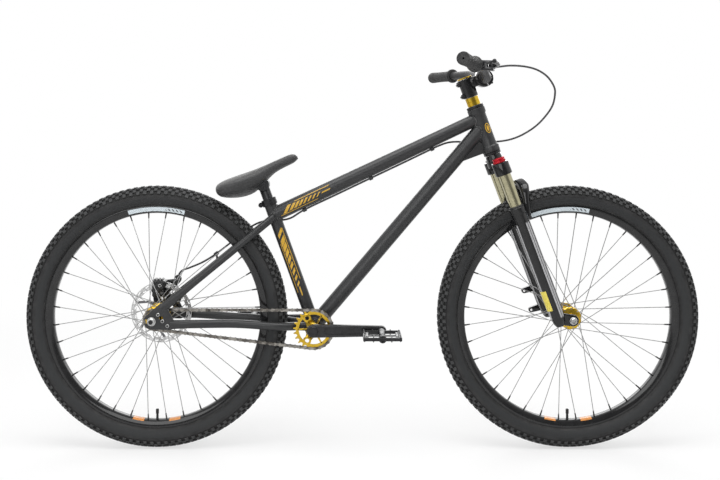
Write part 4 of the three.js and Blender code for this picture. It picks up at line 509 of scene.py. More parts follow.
# Spokes: plain round steel wires, hooked through the hub's flanges and laced across each other to the rim.
# A brass nipple, blacked, pulls each one tight from inside the rim.
SPOKES_A_SIDE = 18
SPOKE_RADIUS = 1.0
SPOKE_CROSS = math.radians(60)
SPOKE_REACH = 264.2
NIPPLE_LENGTH = 13
FLANGES = {"front": (29, 31), "rear": (30, 27)}
spoke_finish = finish("spoke_steel", 0.3, 0.4, (0.25, 0.4), metallic=0.9, scale=150)
nipple_finish = finish("nipple_black", 0.03, 0.07, (0.3, 0.5), metallic=0.5, scale=200)


def rod(bm, start, end, radius, end_radius=None, sides=12):
    """A straight round bar from one place to another."""
    start, end = Vector(start), Vector(end)
    bmesh.ops.create_cone(bm, cap_ends=True, segments=sides, radius1=radius,
                          radius2=radius if end_radius is None else end_radius, depth=(end - start).length,
                          matrix=stood((start + end) / 2, end - start))


def in_wheel(axle, radius, angle, across):
    return axle + Vector((radius * math.cos(angle), across, radius * math.sin(angle)))


def spoke_places(word):
    """Each spoke of a wheel, from its hole in the flange to the rim."""
    axle = WHEELS[word]
    flange_radius, flange_y = FLANGES[word]
    for side in (-1, 1):
        for i in range(SPOKES_A_SIDE):
            way = 1 if i % 2 == 0 else -1
            step = math.tau / SPOKES_A_SIDE
            angle = step * (i + (0.25 if side < 0 else 0.75))
            foot = in_wheel(axle, flange_radius - 3.5, angle, side * (flange_y + way * 1.35))
            head = in_wheel(axle, flange_radius - 3.5, angle, side * (flange_y + way * 3.4))
            yield head, foot, in_wheel(axle, SPOKE_REACH, angle + way * SPOKE_CROSS, side * 2.5)


for word in WHEELS:
    spoke_bm = bmesh.new()
    nipple_bm = bmesh.new()
    for head, foot, tip in spoke_places(word):
        rod(spoke_bm, foot, tip, SPOKE_RADIUS, sides=6)
        rod(spoke_bm, foot, head, 1.2, 2.0, sides=8)
        outer = tip + (tip - foot).normalized() * 1.5
        rod(nipple_bm, outer, outer + (foot - tip).normalized() * NIPPLE_LENGTH, 2.1, 1.6, sides=6)
    finished(spoke_bm, f"{word}_spokes", f"{word}_wheel", spoke_finish, "steel")
    finished(nipple_bm, f"{word}_nipples", f"{word}_wheel", nipple_finish, "dark_steel")

# Hubs: turned aluminium shells, anodised gold, with scalloped flanges between the spoke holes.
# They run on sealed bearings over steel axles.
gold_finish = finish("gold_anodised", (0.50, 0.315, 0.028), (0.60, 0.40, 0.045), (0.16, 0.32), metallic=1, scale=70,
                     bump=0.05, worn=(0.85, 0.7, 0.4))
HUB_HALVES = {
    "front": [(6, 41), (12.4, 41), (13, 40.2), (13, 36), (15, 35), (27.6, 34), (29, 32.9), (29, 29.2), (27.4, 28.3),
              (19, 27), (15.6, 23), (15, 18), (14.4, 8)],
    "rear": [(6, 38), (16.4, 38), (17, 37.2), (17, 33), (18.5, 31.4), (28.6, 30.4), (30, 29.4), (30, 25.2),
             (28.6, 24.4), (22, 23), (18.6, 19), (18, 15), (17.6, 6)],
}
HUB_BEARINGS = {"front": (11.5, (-41, 41)), "rear": (14, (-38, 56))}
for word, axle in WHEELS.items():
    hub_bm = bmesh.new()
    profile = both_halves(HUB_HALVES[word])
    if word == "rear":
        profile = [(6, 56), (16.6, 56), (17, 55.4), (17, 39)] + profile[1:]
    turned(hub_bm, profile, axle, ACROSS, steps=4 * SPOKES_A_SIDE)
    flange_radius = FLANGES[word][0]
    for vert in hub_bm.verts:
        out = vert.co - axle
        across, out.y = out.y, 0
        if out.length > flange_radius - 2:
            start = 0.25 if across < 0 else 0.75
            turn = math.atan2(out.z, out.x) * SPOKES_A_SIDE - start * math.tau
            vert.co -= out.normalized() * 1.6 * (0.5 - 0.5 * math.cos(turn))
    finished(hub_bm, f"{word}_hub_shell", f"{word}_wheel", gold_finish, "gold_alloy", f"{word}_hub", soft=0.25)
    seal_bm = bmesh.new()
    radius, ends = HUB_BEARINGS[word]
    for side, end in zip((-1, 1), ends):
        low, high = sorted((end - side * 3, end + side * 0.3))
        turned(seal_bm, [(6.2, low), (radius, low), (radius, high - 0.4), (radius - 0.6, high), (6.2, high)], axle,
               ACROSS, steps=32)
    seal_finish = finish(f"{word}_bearing_seal", 0.02, 0.05, (0.4, 0.6), scale=150)
    finished(seal_bm, f"{word}_bearings", f"{word}_wheel", seal_finish, "rubber")

# Cog: twelve teeth machined in gold-anodised alloy, screwed to the hub's drive side.
# Chainring: twenty-four teeth cut from one gold plate, with three round eyes and thin spokes between its arms.
CHAIN_PITCH = 12.7
RING_TEETH, COG_TEETH, CHAIN_LINKS = 24, 12, 82
CHAINLINE = -48
SPROCKET_HALF = 1
CRANK_CENTRE = Vector((-124.072, 0, 312.145))
RING_RADIUS = CHAIN_PITCH / (2 * math.sin(math.pi / RING_TEETH))
COG_RADIUS = CHAIN_PITCH / (2 * math.sin(math.pi / COG_TEETH))


def chain_pins():
    """The chain's pins, from the ring's foremost point, underneath to the cog and back over the top."""
    ring_arc_radius = CHAIN_PITCH * RING_TEETH / math.tau
    cog_arc_radius = CHAIN_PITCH * COG_TEETH / math.tau
    line = REAR_AXLE - CRANK_CENTRE
    heading = math.atan2(line.z, line.x)
    lean = math.asin((RING_RADIUS - COG_RADIUS) / line.length)
    straight = line.length * math.cos(lean)
    ring_arc, cog_arc = math.pi + 2 * lean, math.pi - 2 * lean
    ring_half = ring_arc_radius * ring_arc / 2
    total = CHAIN_LINKS * CHAIN_PITCH

    def on_run(angle, share):
        outward = Vector((math.cos(angle), 0, math.sin(angle)))
        return (CRANK_CENTRE + outward * RING_RADIUS).lerp(REAR_AXLE + outward * COG_RADIUS, share)

    pins = []
    lower, upper = heading + math.pi - ring_arc / 2, heading - math.pi + ring_arc / 2
    for i in range(CHAIN_LINKS):
        gone = (i + 0.5) * CHAIN_PITCH
        if gone < ring_half or gone > total - ring_half:
            along = gone if gone < ring_half else gone - total
            pins.append(in_wheel(CRANK_CENTRE, RING_RADIUS, heading + math.pi - along / ring_arc_radius, 0))
        elif gone < ring_half + straight:
            pins.append(on_run(lower, (gone - ring_half) / straight))
        elif gone < ring_half + straight + cog_arc_radius * cog_arc:
            pins.append(in_wheel(REAR_AXLE, COG_RADIUS, lower - (gone - ring_half - straight) / cog_arc_radius, 0))
        else:
            pins.append(on_run(upper, (total - ring_half - gone) / straight))
    return pins


PINS = chain_pins()


def tooth_turn(centre, radius):
    seated = [pin - centre for pin in PINS if abs((pin - centre).length - radius) < 0.01]
    pin = seated[len(seated) // 2]
    return math.atan2(pin.z, pin.x)


def verts_in(geom):
    return [g for g in geom if isinstance(g, bmesh.types.BMVert)]


def thickened(bm, faces, height):
    """Gives flat faces a thickness across the bicycle."""
    grown = bmesh.ops.extrude_face_region(bm, geom=faces)["geom"]
    bmesh.ops.translate(bm, vec=(0, height, 0), verts=verts_in(grown))


TOOTH_POINTS = [(-0.33, -3.6), (-0.22, -2.2), (-0.1, 2.6), (0, 3.4), (0.1, 2.6), (0.22, -2.2), (0.33, -3.6),
                (0.5, -4.4)]


def toothed(bm, centre, teeth, radius, inner):
    """A sprocket's toothed band on the chain's line, open inside a radius; TOOTH_POINTS are (turn, reach)."""
    start = tooth_turn(centre, radius) + math.pi / teeth
    low = CHAINLINE - SPROCKET_HALF
    outer = []
    for i in range(teeth):
        for share, reach in TOOTH_POINTS:
            outer.append(bm.verts.new(in_wheel(centre, radius + reach, start + (i + share) * math.tau / teeth, low)))
    outer_edges = [bm.edges.new(pair) for pair in zip(outer, outer[1:] + outer[:1])]
    hole = bmesh.ops.create_circle(bm, segments=len(outer), radius=inner,
                                   matrix=stood(centre + Vector((0, low, 0)), ACROSS))
    inner_edges = list({edge for vert in hole["verts"] for edge in vert.link_edges})
    thickened(bm, bmesh.ops.bridge_loops(bm, edges=outer_edges + inner_edges)["faces"], 2 * SPROCKET_HALF)


cog_bm = bmesh.new()
toothed(cog_bm, REAR_AXLE, COG_TEETH, COG_RADIUS, 16)
turned(cog_bm, [(9.6, -51.4), (15.6, -51.4), (16.4, -50.6), (16.4, -49.2), (17.4, -48.8), (17.4, -42.6),
                (9.6, -42.6)], REAR_AXLE, ACROSS)
finished(cog_bm, "cog_plate", "rear_sprocket", gold_finish, "gold_alloy", "rear_cog")


def joined(bm, part):
    """Adds a part to a piece, and lets the part go."""
    mesh = meshed("part", part)
    bm.from_mesh(mesh)
    bpy.data.meshes.remove(mesh)


def hulled(bm, rounds, low, high, sides=32, soft=0.0):
    """A plate drawn tight round its rounds, each a place, or an x and a z, and a radius; soft breaks its edges."""
    plate = bmesh.new()
    for *spot, radius in rounds:
        x, z = spot if len(spot) == 2 else (spot[0].x, spot[0].z)
        for y in (low, high):
            bmesh.ops.create_circle(plate, segments=sides, radius=radius, matrix=stood((x, y, z), ACROSS))
    hull = bmesh.ops.convex_hull(plate, input=plate.verts[:])
    spare = set(verts_in(hull["geom_interior"] + hull["geom_unused"]))
    bmesh.ops.delete(plate, geom=list(spare), context="VERTS")
    bmesh.ops.dissolve_limit(plate, angle_limit=0.01, verts=plate.verts[:], edges=plate.edges[:])
    loose = [edge for edge in plate.edges if not edge.link_faces]
    bmesh.ops.delete(plate, geom=loose, context="EDGES")
    bmesh.ops.recalc_face_normals(plate, faces=plate.faces)
    if soft:
        rims = [edge for edge in plate.edges if len(edge.link_faces) == 2 and edge.calc_face_angle() > 1]
        bmesh.ops.bevel(plate, geom=rims, offset=soft, offset_type="OFFSET", segments=2, profile=0.5,
                        affect="EDGES", material=-1)
    joined(bm, plate)


def bores(*rods):
    """The round holes to be cut from a piece, each from a place to a place with a radius and a number of sides."""
    holes = bmesh.new()
    for start, end, radius, sides in rods:
        rod(holes, start, end, radius, sides=sides)
    return holes


RING_EYE_CIRCLE = 33
ring_low, ring_high = CHAINLINE - SPROCKET_HALF, CHAINLINE + SPROCKET_HALF
ring_bm = bmesh.new()
toothed(ring_bm, CRANK_CENTRE, RING_TEETH, RING_RADIUS, 37.4)
finished(ring_bm, "chainring_teeth", "cranks", gold_finish, "gold_alloy", soft=0.2)
web_bm = bmesh.new()
eyes = []
for i in range(3):
    angle = i * math.tau / 3
    eye = in_wheel(CRANK_CENTRE, RING_EYE_CIRCLE, angle, 0)
    hulled(web_bm, [(CRANK_CENTRE, 15), (eye, 6.4)], ring_low - 0.3, ring_high + 0.3, sides=24)
    hulled(web_bm, [(eye, 10.6)], ring_low - 0.9, ring_high + 0.5, sides=36, soft=0.5)
    thin = in_wheel(CRANK_CENTRE, 38.5, angle + math.pi / 3, 0)
    hulled(web_bm, [(CRANK_CENTRE, 2.6), (thin, 2.0)], ring_low, ring_high, sides=16)
    eyes.append((eye - ACROSS * 60, eye - ACROSS * 40, 5.3, 32))
turned(web_bm, [(12.3, ring_low - 2), (14.4, ring_low - 2), (15, ring_low - 1.4), (15, ring_high + 0.6),
                (12.3, ring_high + 0.6)], CRANK_CENTRE, ACROSS)
web_holes = bores(*eyes, (CRANK_CENTRE - ACROSS * 62, CRANK_CENTRE - ACROSS * 40, 12.3, 48))
finished(web_bm, "chainring_web", "cranks", gold_finish, "gold_alloy", "chainring", holes=web_holes)

# Chain: 82 links of half-inch pitch. Dark plates stand in pairs, narrow inside wide, on rollers,
# and a pin pressed and headed through each joint shows as a bright dot.
plate_finish = finish("chain_plate_dark", (0.06, 0.055, 0.05), (0.12, 0.11, 0.1), (0.28, 0.45), metallic=0.85,
                      scale=90, bump=0.1, worn=(0.4, 0.39, 0.37))
outer_plate_finish = finish("chain_plate_bright", (0.11, 0.10, 0.09), (0.22, 0.205, 0.18), (0.26, 0.42),
                            metallic=0.9, scale=90, bump=0.1, worn=(0.5, 0.48, 0.45))


def pinned_link(wide):
    """One link: two plates with round ends, and the pins or rollers that join them."""
    link = bmesh.new()
    ends = (-CHAIN_PITCH / 2, CHAIN_PITCH / 2)
    near, far = (2.55, 3.6) if wide else (1.55, 2.45)
    for side in (-1, 1):
        low, high = sorted((side * near, side * far))
        hulled(link, [(x, 0, 3.1) for x in ends], low, high, sides=8)
        for x in ends:
            rod(link, (x, low - 0.06, 0), (x, high + 0.06, 0), 4.1, sides=12)
    reach, radius, sides = (4.1, 1.75, 10) if wide else (1.55, 3.7, 12)
    for x in ends:
        rod(link, (x, -reach, 0), (x, reach, 0), radius, sides=sides)
    return meshed("link", link)


for wide, name, surface in ((False, "chain_inner_links", plate_finish),
                            (True, "chain_outer_links", outer_plate_finish)):
    link_mesh = pinned_link(wide)
    chain_bm = bmesh.new()
    for i in range(1 if wide else 0, CHAIN_LINKS, 2):
        here, there = PINS[i], PINS[(i + 1) % CHAIN_LINKS]
        before = set(chain_bm.verts)
        chain_bm.from_mesh(link_mesh)
        along = there - here
        turn = Matrix.Rotation(-math.atan2(along.z, along.x), 4, "Y")
        middle = (here + there) / 2 + Vector((0, CHAINLINE, 0))
        bmesh.ops.transform(chain_bm, matrix=Matrix.Translation(middle) @ turn, verts=newest(chain_bm, before))
    bpy.data.meshes.remove(link_mesh)
    finished(chain_bm, name, "frame", surface, "dark_steel", *(() if wide else ("chain",)))

# Brake disc: a stamped and ground steel ring with rows of slots, on six swept arms bolted to the hub's left end.
DISC_Y = 51
DISC_RADIUS = 80
DISC_SLOTS, DISC_ARMS = 36, 6
disc_finish = finish("disc_steel", 0.5, 0.62, (0.2, 0.36), metallic=1, scale=90, bump=0.05)
tree = disc_finish.node_tree
radius, turn, across = round_about(tree, REAR_AXLE)
over_height(disc_finish, maths(tree, "SINE", times(tree, radius, 9.0)), 0.5)
over_colour(disc_finish, between(tree, (radius, 20, 65.5, 0.6)), (0.16, 0.16, 0.165))


def sleeve(inner, outer, low, high, broken=0.0):
    """The profile of a round sleeve or, with no inner radius, a solid one; its outer corners may be broken."""
    if not broken:
        return [(inner, low), (outer, low), (outer, high), (inner, high)]
    return [(inner, low), (outer - broken, low), (outer, low + broken), (outer, high - broken),
            (outer - broken, high), (inner, high)]


disc_bm = bmesh.new()
disc_low, disc_high = DISC_Y - 0.95, DISC_Y + 0.95
turned(disc_bm, sleeve(66, DISC_RADIUS, disc_low, disc_high, 0.4), REAR_AXLE, ACROSS, steps=96)
disc_holes = bmesh.new()
for i in range(DISC_SLOTS):
    angle = i * math.tau / DISC_SLOTS
    radius, lean = ((76.6, 0.05), (69.4, -0.05))[i % 2]
    ends = (in_wheel(REAR_AXLE, radius, angle - lean, 0), in_wheel(REAR_AXLE, radius - 1.6, angle + lean, 0))
    hulled(disc_holes, [(end, 1.5) for end in ends], DISC_Y - 4, DISC_Y + 4, sides=10)
finished(disc_bm, "disc_band", "rear_wheel", disc_finish, "steel", "brake_disc", holes=disc_holes)
carrier_bm = bmesh.new()
for i in range(DISC_ARMS):
    angle = i * math.tau / DISC_ARMS
    root, bend, tip = (in_wheel(REAR_AXLE, radius, angle + math.radians(lag), 0)
                       for radius, lag in ((20.5, 0), (46, 24), (67.5, 38)))
    hulled(carrier_bm, [(root, 4.2), (bend, 3.1)], disc_low + 0.1, disc_high - 0.1, sides=16)
    hulled(carrier_bm, [(bend, 3.1), (tip, 3.4)], disc_low + 0.1, disc_high - 0.1, sides=16)
    bolt = root + ACROSS * (DISC_Y + 1)
    rod(carrier_bm, bolt, bolt + ACROSS * 2.2, 3.4, 2.8, sides=12)
turned(carrier_bm, sleeve(17.3, 24, disc_low, disc_high), REAR_AXLE, ACROSS, steps=60)
finished(carrier_bm, "disc_arms", "rear_wheel", disc_finish, "steel", soft=0.15)

# Frame: round steel tubes, mitred, welded and painted matt charcoal, with gold lines printed on two of them.
# The top and down tubes meet the head tube one above the other, with a small gusset below.
SEAT_UP = Vector((-0.342020, 0, 0.939693))
STEER_FOOT = Vector((497.153, 0, 324.838))
STEER_UP = Vector((-0.350207, 0, 0.936672))
STEER_AHEAD = Vector((0.936672, 0, 0.350207))


def on_seat_tube(along):
    return CRANK_CENTRE + SEAT_UP * along


def steered(ahead, across, along):
    """A place ahead of the steering axis, to the left of it, and up along it."""
    return STEER_FOOT + STEER_AHEAD * ahead + ACROSS * across + STEER_UP * along


TOP_TUBE = (on_seat_tube(304), steered(0, 0, 558))
DOWN_TUBE = (CRANK_CENTRE, steered(0, 0, 533))
paint = finish("frame_paint_matt", (0.0215, 0.022, 0.023), (0.025, 0.0255, 0.0265), (0.3, 0.42), scale=90, bump=0.06,
               worn=0.08, dust=0.02, shine=0.4)


def swept(bm, places, radii, sides=24, toward=None, square=1.0):
    """A tube drawn through its places; a radius may be a pair, and a low square gives flatter sides."""
    places = [Vector(place) for place in places]
    stations = []
    for i, place in enumerate(places):
        onward = places[min(i + 1, len(places) - 1)] - places[max(i - 1, 0)]
        wide, tall = radii[i] if isinstance(radii[i], tuple) else (radii[i], radii[i])
        stations.append(stood(place, onward, toward) @ Matrix.Diagonal((wide, tall, 1, 1)))
    ring = bmesh.ops.create_circle(bm, segments=sides, radius=1)["verts"]
    for vert in ring:
        vert.co.x = math.copysign(abs(vert.co.x) ** square, vert.co.x)
        vert.co.y = math.copysign(abs(vert.co.y) ** square, vert.co.y)
    bmesh.ops.transform(bm, matrix=stations[0], verts=ring)
    edges = list({edge for vert in ring for edge in vert.link_edges})
    ends = [edges]
    for here, onward in zip(stations, stations[1:]):
        ring = verts_in(bmesh.ops.extrude_edge_only(bm, edges=edges)["geom"])
        bmesh.ops.transform(bm, matrix=onward @ here.inverted(), verts=ring)
        fresh = set(ring)
        edges = list({edge for vert in ring for edge in vert.link_edges if set(edge.verts) <= fresh})
    for end in (*ends, edges):
        bmesh.ops.contextual_create(bm, geom=end)


def repainted(base, name, centre, lean):
    """A copy of a finish to print on, with each point's place along, across and beside a leaning line."""
    painted = base.copy()
    painted.name = name
    tree = painted.node_tree
    return painted, tree, node(tree, "SeparateXYZ", {0: placed(tree, centre, lean)}).outputs


GOLD_INK, PAINT_GREY = (0.56, 0.33, 0.03), (0.0215, 0.022, 0.023)


def lined_tube(name, tube, marks):
    """The frame's paint with gold marks: each is a reach along the tube, a height on its side and a slant."""
    line = tube[1] - tube[0]
    painted, tree, place = repainted(paint, name, tube[0], math.atan2(line.z, line.x))
    for low, high, foot, top, slant in marks:
        reach = maths(tree, "SUBTRACT", place["X"], times(tree, place["Z"], slant))
        over_colour(painted, between(tree, (reach, low, high, 0.4), (place["Z"], foot, top, 0.4)), GOLD_INK)
    return painted


# What is cut from a tube's end so that it fits round the tube it is welded to
SHELL_CUT = (CRANK_CENTRE - ACROSS * 50, CRANK_CENTRE + ACROSS * 50, 20.6, 48)
SEAT_TUBE_CUT = (on_seat_tube(150), on_seat_tube(400), 15.5, 48)
HEAD_TUBE_CUT = (steered(0, 0, 420), steered(0, 0, 640), 19.6, 48)
top_marks = [(34, 44, -8, 8, 1.2)]
top_marks += [(50 + 12.5 * i, 58.5 + 12.5 * i - 0.8 * i, -6.5 + 0.35 * i, 6.5 - 0.35 * i, 1.2) for i in range(7)]
top_marks += [(137, 160, -1.4, 1.4, 1.2), (30, 134, -10.6, -9.4, 1.2), (52, 150, 9.4, 10.6, 1.2)]
top_paint = lined_tube("top_tube_paint", TOP_TUBE, top_marks)
top_bm = bmesh.new()
line = TOP_TUBE[1] - TOP_TUBE[0]
swept(top_bm, [TOP_TUBE[0] + line * share for share in (0, 0.3, 0.6, 1)], [19, 18.2, 17.4, 16.5], sides=40)
finished(top_bm, "top_tube_painted", "frame", top_paint, "frame_paint", "top_tube",
         holes=bores(SEAT_TUBE_CUT, HEAD_TUBE_CUT))
down_bm = bmesh.new()
swept(down_bm, DOWN_TUBE, [19, 19], sides=40)
finished(down_bm, "down_tube_painted", "frame", paint, "frame_paint", "down_tube",
         holes=bores(SHELL_CUT, HEAD_TUBE_CUT))
seat_marks = [(250, 260, -7, 7, -1.2)]
seat_marks += [(114 + 16 * i, 120.5 + 17.2 * i, -3.6 - 0.35 * i, 3.6 + 0.35 * i, -1.2) for i in range(8)]
seat_marks += [(86, 109, -1.4, 1.4, -1.2), (118, 256, -9.2, -8.1, -1.2), (106, 238, 8.1, 9.2, -1.2)]
seat_paint = lined_tube("seat_tube_paint", (CRANK_CENTRE, on_seat_tube(345)), seat_marks)
seat_tube_bm = bmesh.new()
turned(seat_tube_bm, [(13.9, 345), (15.4, 345), (15.9, 344.5), (15.9, 12), (13.9, 12)], CRANK_CENTRE, SEAT_UP)
finished(seat_tube_bm, "seat_tube_painted", "frame", seat_paint, "frame_paint", "seat_tube", holes=bores(SHELL_CUT))
lathed("bottom_bracket_painted", sleeve(14, 21, -36.5, 36.5, 0.6), CRANK_CENTRE, ACROSS, "frame", paint,
       "frame_paint", "bottom_bracket_shell")
head_paint, tree, place = repainted(paint, "head_tube_paint", steered(9.5, 0, 527),
                                    math.atan2(STEER_UP.z, STEER_UP.x))
for tall, wide, colour in ((13, 7, GOLD_INK), (10.6, 5, PAINT_GREY), (7.6, 3, GOLD_INK)):
    far = maths(tree, "ADD", *(maths(tree, "POWER", maths(tree, "DIVIDE", place[axis], reach), 2.0)
                               for axis, reach in (("X", tall), ("Z", wide))))
    over_colour(head_paint, between(tree, (far, -1, 1, 0.1)), colour)
HEAD_TUBE_PROFILE = [
    (16.8, 466), (22.4, 466), (23, 466.6), (23, 479), (22.4, 480.4), (20.6, 482.4), (20, 484),
    (20, 566), (20.6, 567.6), (22.4, 569.6), (23, 571), (23, 583.4), (22.4, 584), (16.8, 584),
]
lathed("head_tube_painted", HEAD_TUBE_PROFILE, STEER_FOOT, STEER_UP, "frame", head_paint, "frame_paint", "head_tube")
gusset_bm = bmesh.new()
down_line = (DOWN_TUBE[1] - DOWN_TUBE[0]).normalized()
corners = (DOWN_TUBE[1] - down_line * 132, steered(0, 0, 469), DOWN_TUBE[1] - down_line * 35)
thickened(gusset_bm, [gusset_bm.faces.new([gusset_bm.verts.new((at.x, -9, at.z)) for at in corners])], 18)
finished(gusset_bm, "head_gusset_painted", "frame", paint, "frame_paint", "head_gusset", soft=1.2)

# Stays: slim bent tubes, flattened where they are welded to the dropouts.
# Two run from the crank's shell and two from the top of the seat tube, clear of the tyre and the disc.
DROPOUT_LOWER = Vector((-483, 0, 328.745))
DROPOUT_UPPER = Vector((-503, 0, 368.745))
DROPOUT_MIDDLE = 70.5
SIDES = ((-1, "right"), (1, "left"))
for side, word in SIDES:
    chainstay = [
        (-124.072, side * 21.75, 312.145), (-166.072, side * 27, 315.395), (-218.9, side * 43.6, 318.645),
        (-321.072, side * 43.6, 325.145), (-438.5, side * 65.1, 328.745),
        (DROPOUT_LOWER.x, side * DROPOUT_MIDDLE, DROPOUT_LOWER.z),
    ]
    line = eased(chainstay, 8)
    flat = [min(max((-438 - place.x) / 45, 0), 1) for place in line]
    stay_bm = bmesh.new()
    swept(stay_bm, line, [(10.5 - 6.5 * share, 10.5 + 1.5 * share) for share in flat], sides=28)
    finished(stay_bm, f"chainstay_{word}_painted", "frame", paint, "frame_paint", f"chainstay_{word}",
             holes=bores(SHELL_CUT))
    top = on_seat_tube(300)
    seatstay = [DROPOUT_UPPER.lerp(top, share) + ACROSS * side * across
                for share, across in ((0, DROPOUT_MIDDLE), (0.5, 56.15), (0.8, 41.8), (1, 20.5))]
    line = eased(seatstay, 9)
    flat = [max(1 - i / 5, 0) for i in range(len(line))]
    stay_bm = bmesh.new()
    swept(stay_bm, line, [(9.3 - 5 * share, 9.3 + 1.7 * share) for share in flat], sides=28)
    finished(stay_bm, f"seatstay_{word}_painted", "frame", paint, "frame_paint", f"seatstay_{word}",
             holes=bores(SEAT_TUBE_CUT))

# Dropouts: laser-cut steel plates, slotted for the axle, with a round window and three bolt heads.
# Welds: a row of overlapping beads wherever two tubes meet, painted over with the frame.
steel_finish = finish("bright_steel", 0.4, (0.52, 0.52, 0.51), (0.2, 0.36), metallic=1, scale=110, worn=0.8)
window = (DROPOUT_LOWER + DROPOUT_UPPER + REAR_AXLE) / 3
for side, word in SIDES:
    low, high = sorted((side * 67.5, side * 73.5))
    plate_bm = bmesh.new()
    hulled(plate_bm, [(REAR_AXLE, 20), (DROPOUT_LOWER, 13), (DROPOUT_UPPER, 13)], low, high, sides=48, soft=1.0)
    slots = bores((window + ACROSS * (low - 5), window + ACROSS * (high + 5), 5.5, 32))
    hulled(slots, [(REAR_AXLE, 5.3), (REAR_AXLE - AHEAD * 40, 5.3)], low - 5, high + 5)
    finished(plate_bm, f"dropout_{word}_plate", "frame", paint, "frame_paint", f"dropout_{word}", holes=slots)


def screw_head(bm, place, axis, wide, edge, top, tall, socket, depth, steps=24):
    """A round head, its edge broken from a radius and a height to those of its top, with a socket to a depth."""
    turned(bm, [(0, 0), (wide, 0), (wide, edge), (top, tall), (socket, tall), (socket - 0.1, depth), (0, depth)],
           place, axis, steps)


bolt_bm = bmesh.new()
for x, z in ((-512.5, 354), (-501.5, 338), (-489, 326)):
    screw_head(bolt_bm, (x, -73.4, z), -ACROSS, 4.6, 2.2, 4.1, 2.9, 2.8, -2)
finished(bolt_bm, "dropout_bolts", "frame", steel_finish, "steel")
WELD_PITCH, WELD_BEAD = 3.1, 2.7


def weld(bm, foot, toward, radius, other, other_axis, other_radius):
    """Beads round the end of a tube, where it runs into the side of another round one."""
    along = Vector(toward).normalized()
    axis = Vector(other_axis).normalized()
    turn = stood(foot, along)
    flat_along = along - axis * along.dot(axis)
    count = round(math.tau * radius / WELD_PITCH)
    for i in range(count):
        angle = i * math.tau / count
        start = turn @ Vector((radius * math.cos(angle), radius * math.sin(angle), 0))
        gap = start - other
        gap -= axis * gap.dot(axis)
        a, b, c = flat_along.length_squared, 2 * gap.dot(flat_along), gap.length_squared - other_radius ** 2
        inside = b * b - 4 * a * c
        if inside <= 0:
            continue
        place = start + along * ((-b - math.sqrt(inside)) / (2 * a))
        bmesh.ops.create_icosphere(bm, subdivisions=1, radius=WELD_BEAD, matrix=Matrix.Translation(place))


weld_bm = bmesh.new()
weld(weld_bm, TOP_TUBE[0], TOP_TUBE[1] - TOP_TUBE[0], 16.6, STEER_FOOT, STEER_UP, 20.3)
weld(weld_bm, TOP_TUBE[1], TOP_TUBE[0] - TOP_TUBE[1], 18.8, CRANK_CENTRE, SEAT_UP, 16.2)
weld(weld_bm, DOWN_TUBE[0], down_line, 19, STEER_FOOT, STEER_UP, 20.3)
weld(weld_bm, DOWN_TUBE[1], -down_line, 19, CRANK_CENTRE, ACROSS, 21.3)
weld(weld_bm, on_seat_tube(200), -SEAT_UP, 15.9, CRANK_CENTRE, ACROSS, 21.3)
for side in (-1, 1):
    weld(weld_bm, (-190, side * 32, 317), (66, -side * 10.5, -4.8), 10.4, CRANK_CENTRE, ACROSS, 21.3)
    weld(weld_bm, (-284, side * 44, 557), (57, -side * 26, 38), 9.2, CRANK_CENTRE, SEAT_UP, 16.3)
finished(weld_bm, "frame_welds", "frame", paint, "frame_paint", smooth=60)

# Small things brazed, pressed or screwed to the frame: the cable's guides and the bearing cups.
# The cups are turned in black-anodised alloy and pressed into the head tube or screwed into the crank's shell.
black_finish = finish("black_anodised", (0.012, 0.012, 0.013), (0.02, 0.02, 0.022), (0.2, 0.36), metallic=0.3,
                      scale=80, bump=0.06, worn=0.16, shine=0.4)


def cable_guide(bm, i, bore, shoulder, outer, long):
    """A short sleeve round the cable at one point of its route; gives back where that is."""
    middle = Vector(CABLE_ROUTE[i])
    onward = (Vector(CABLE_ROUTE[i + 1]) - Vector(CABLE_ROUTE[i - 1])).normalized()
    turned(bm, [(bore, -long), (shoulder, -long), (outer, 0.6 - long), (outer, long - 0.6), (shoulder, long),
                (bore, long)], middle, onward, steps=24)
    return middle


guide_bm = bmesh.new()
for i in (19, 21, 23):
    middle = cable_guide(guide_bm, i, 3.0, 4.9, 5.4, 5)
    rod(guide_bm, middle + Vector((0, 0, 4)), middle + Vector((0.5, 0, 9)), 3.4, 4.6, sides=16)
finished(guide_bm, "cable_guides", "frame", paint, "frame_paint")
stay_guide_bm = bmesh.new()
middle = cable_guide(stay_guide_bm, 29, 2.8, 4.6, 5.0, 6)
rod(stay_guide_bm, middle + Vector((1, -2.5, -3)), middle + Vector((4, -8.5, -16)), 2.6, 3.4, sides=16)
finished(stay_guide_bm, "stay_cable_guide", "frame", paint, "frame_paint")
for name, low, high in (("headset_lower_cup", 458, 465.7), ("headset_upper_cup", 584.3, 592)):
    lathed(name + "_turned", sleeve(15, 22.4, low, high, 0.8), STEER_FOOT, STEER_UP, "frame", black_finish,
           "black_alloy", name)
CUP_LOW, CUP_HIGH, CUP_NOTCHES = 36.8, 43.5, 12
for side, word in SIDES:
    cup_bm = bmesh.new()
    turned(cup_bm, [(12.8, CUP_LOW), (22, CUP_LOW), (22, CUP_HIGH - 3), (20.6, CUP_HIGH - 2.4), (20, CUP_HIGH),
                    (12.8, CUP_HIGH)], CRANK_CENTRE, ACROSS * side)
    for i in range(CUP_NOTCHES):
        place = in_wheel(CRANK_CENTRE, 21.4, i * math.tau / CUP_NOTCHES, side * (CUP_LOW + 1.9))
        rod(cup_bm, place - ACROSS * 1.9, place + ACROSS * 1.9, 1.5, sides=8)
    finished(cup_bm, f"bottom_bracket_cup_{word}_turned", "frame", black_finish, "black_alloy",
             f"bottom_bracket_cup_{word}")

# Rear axle: a steel rod through the hub, with lock nuts inside the dropouts and a large domed nut at each end.
nut_bm = bmesh.new()


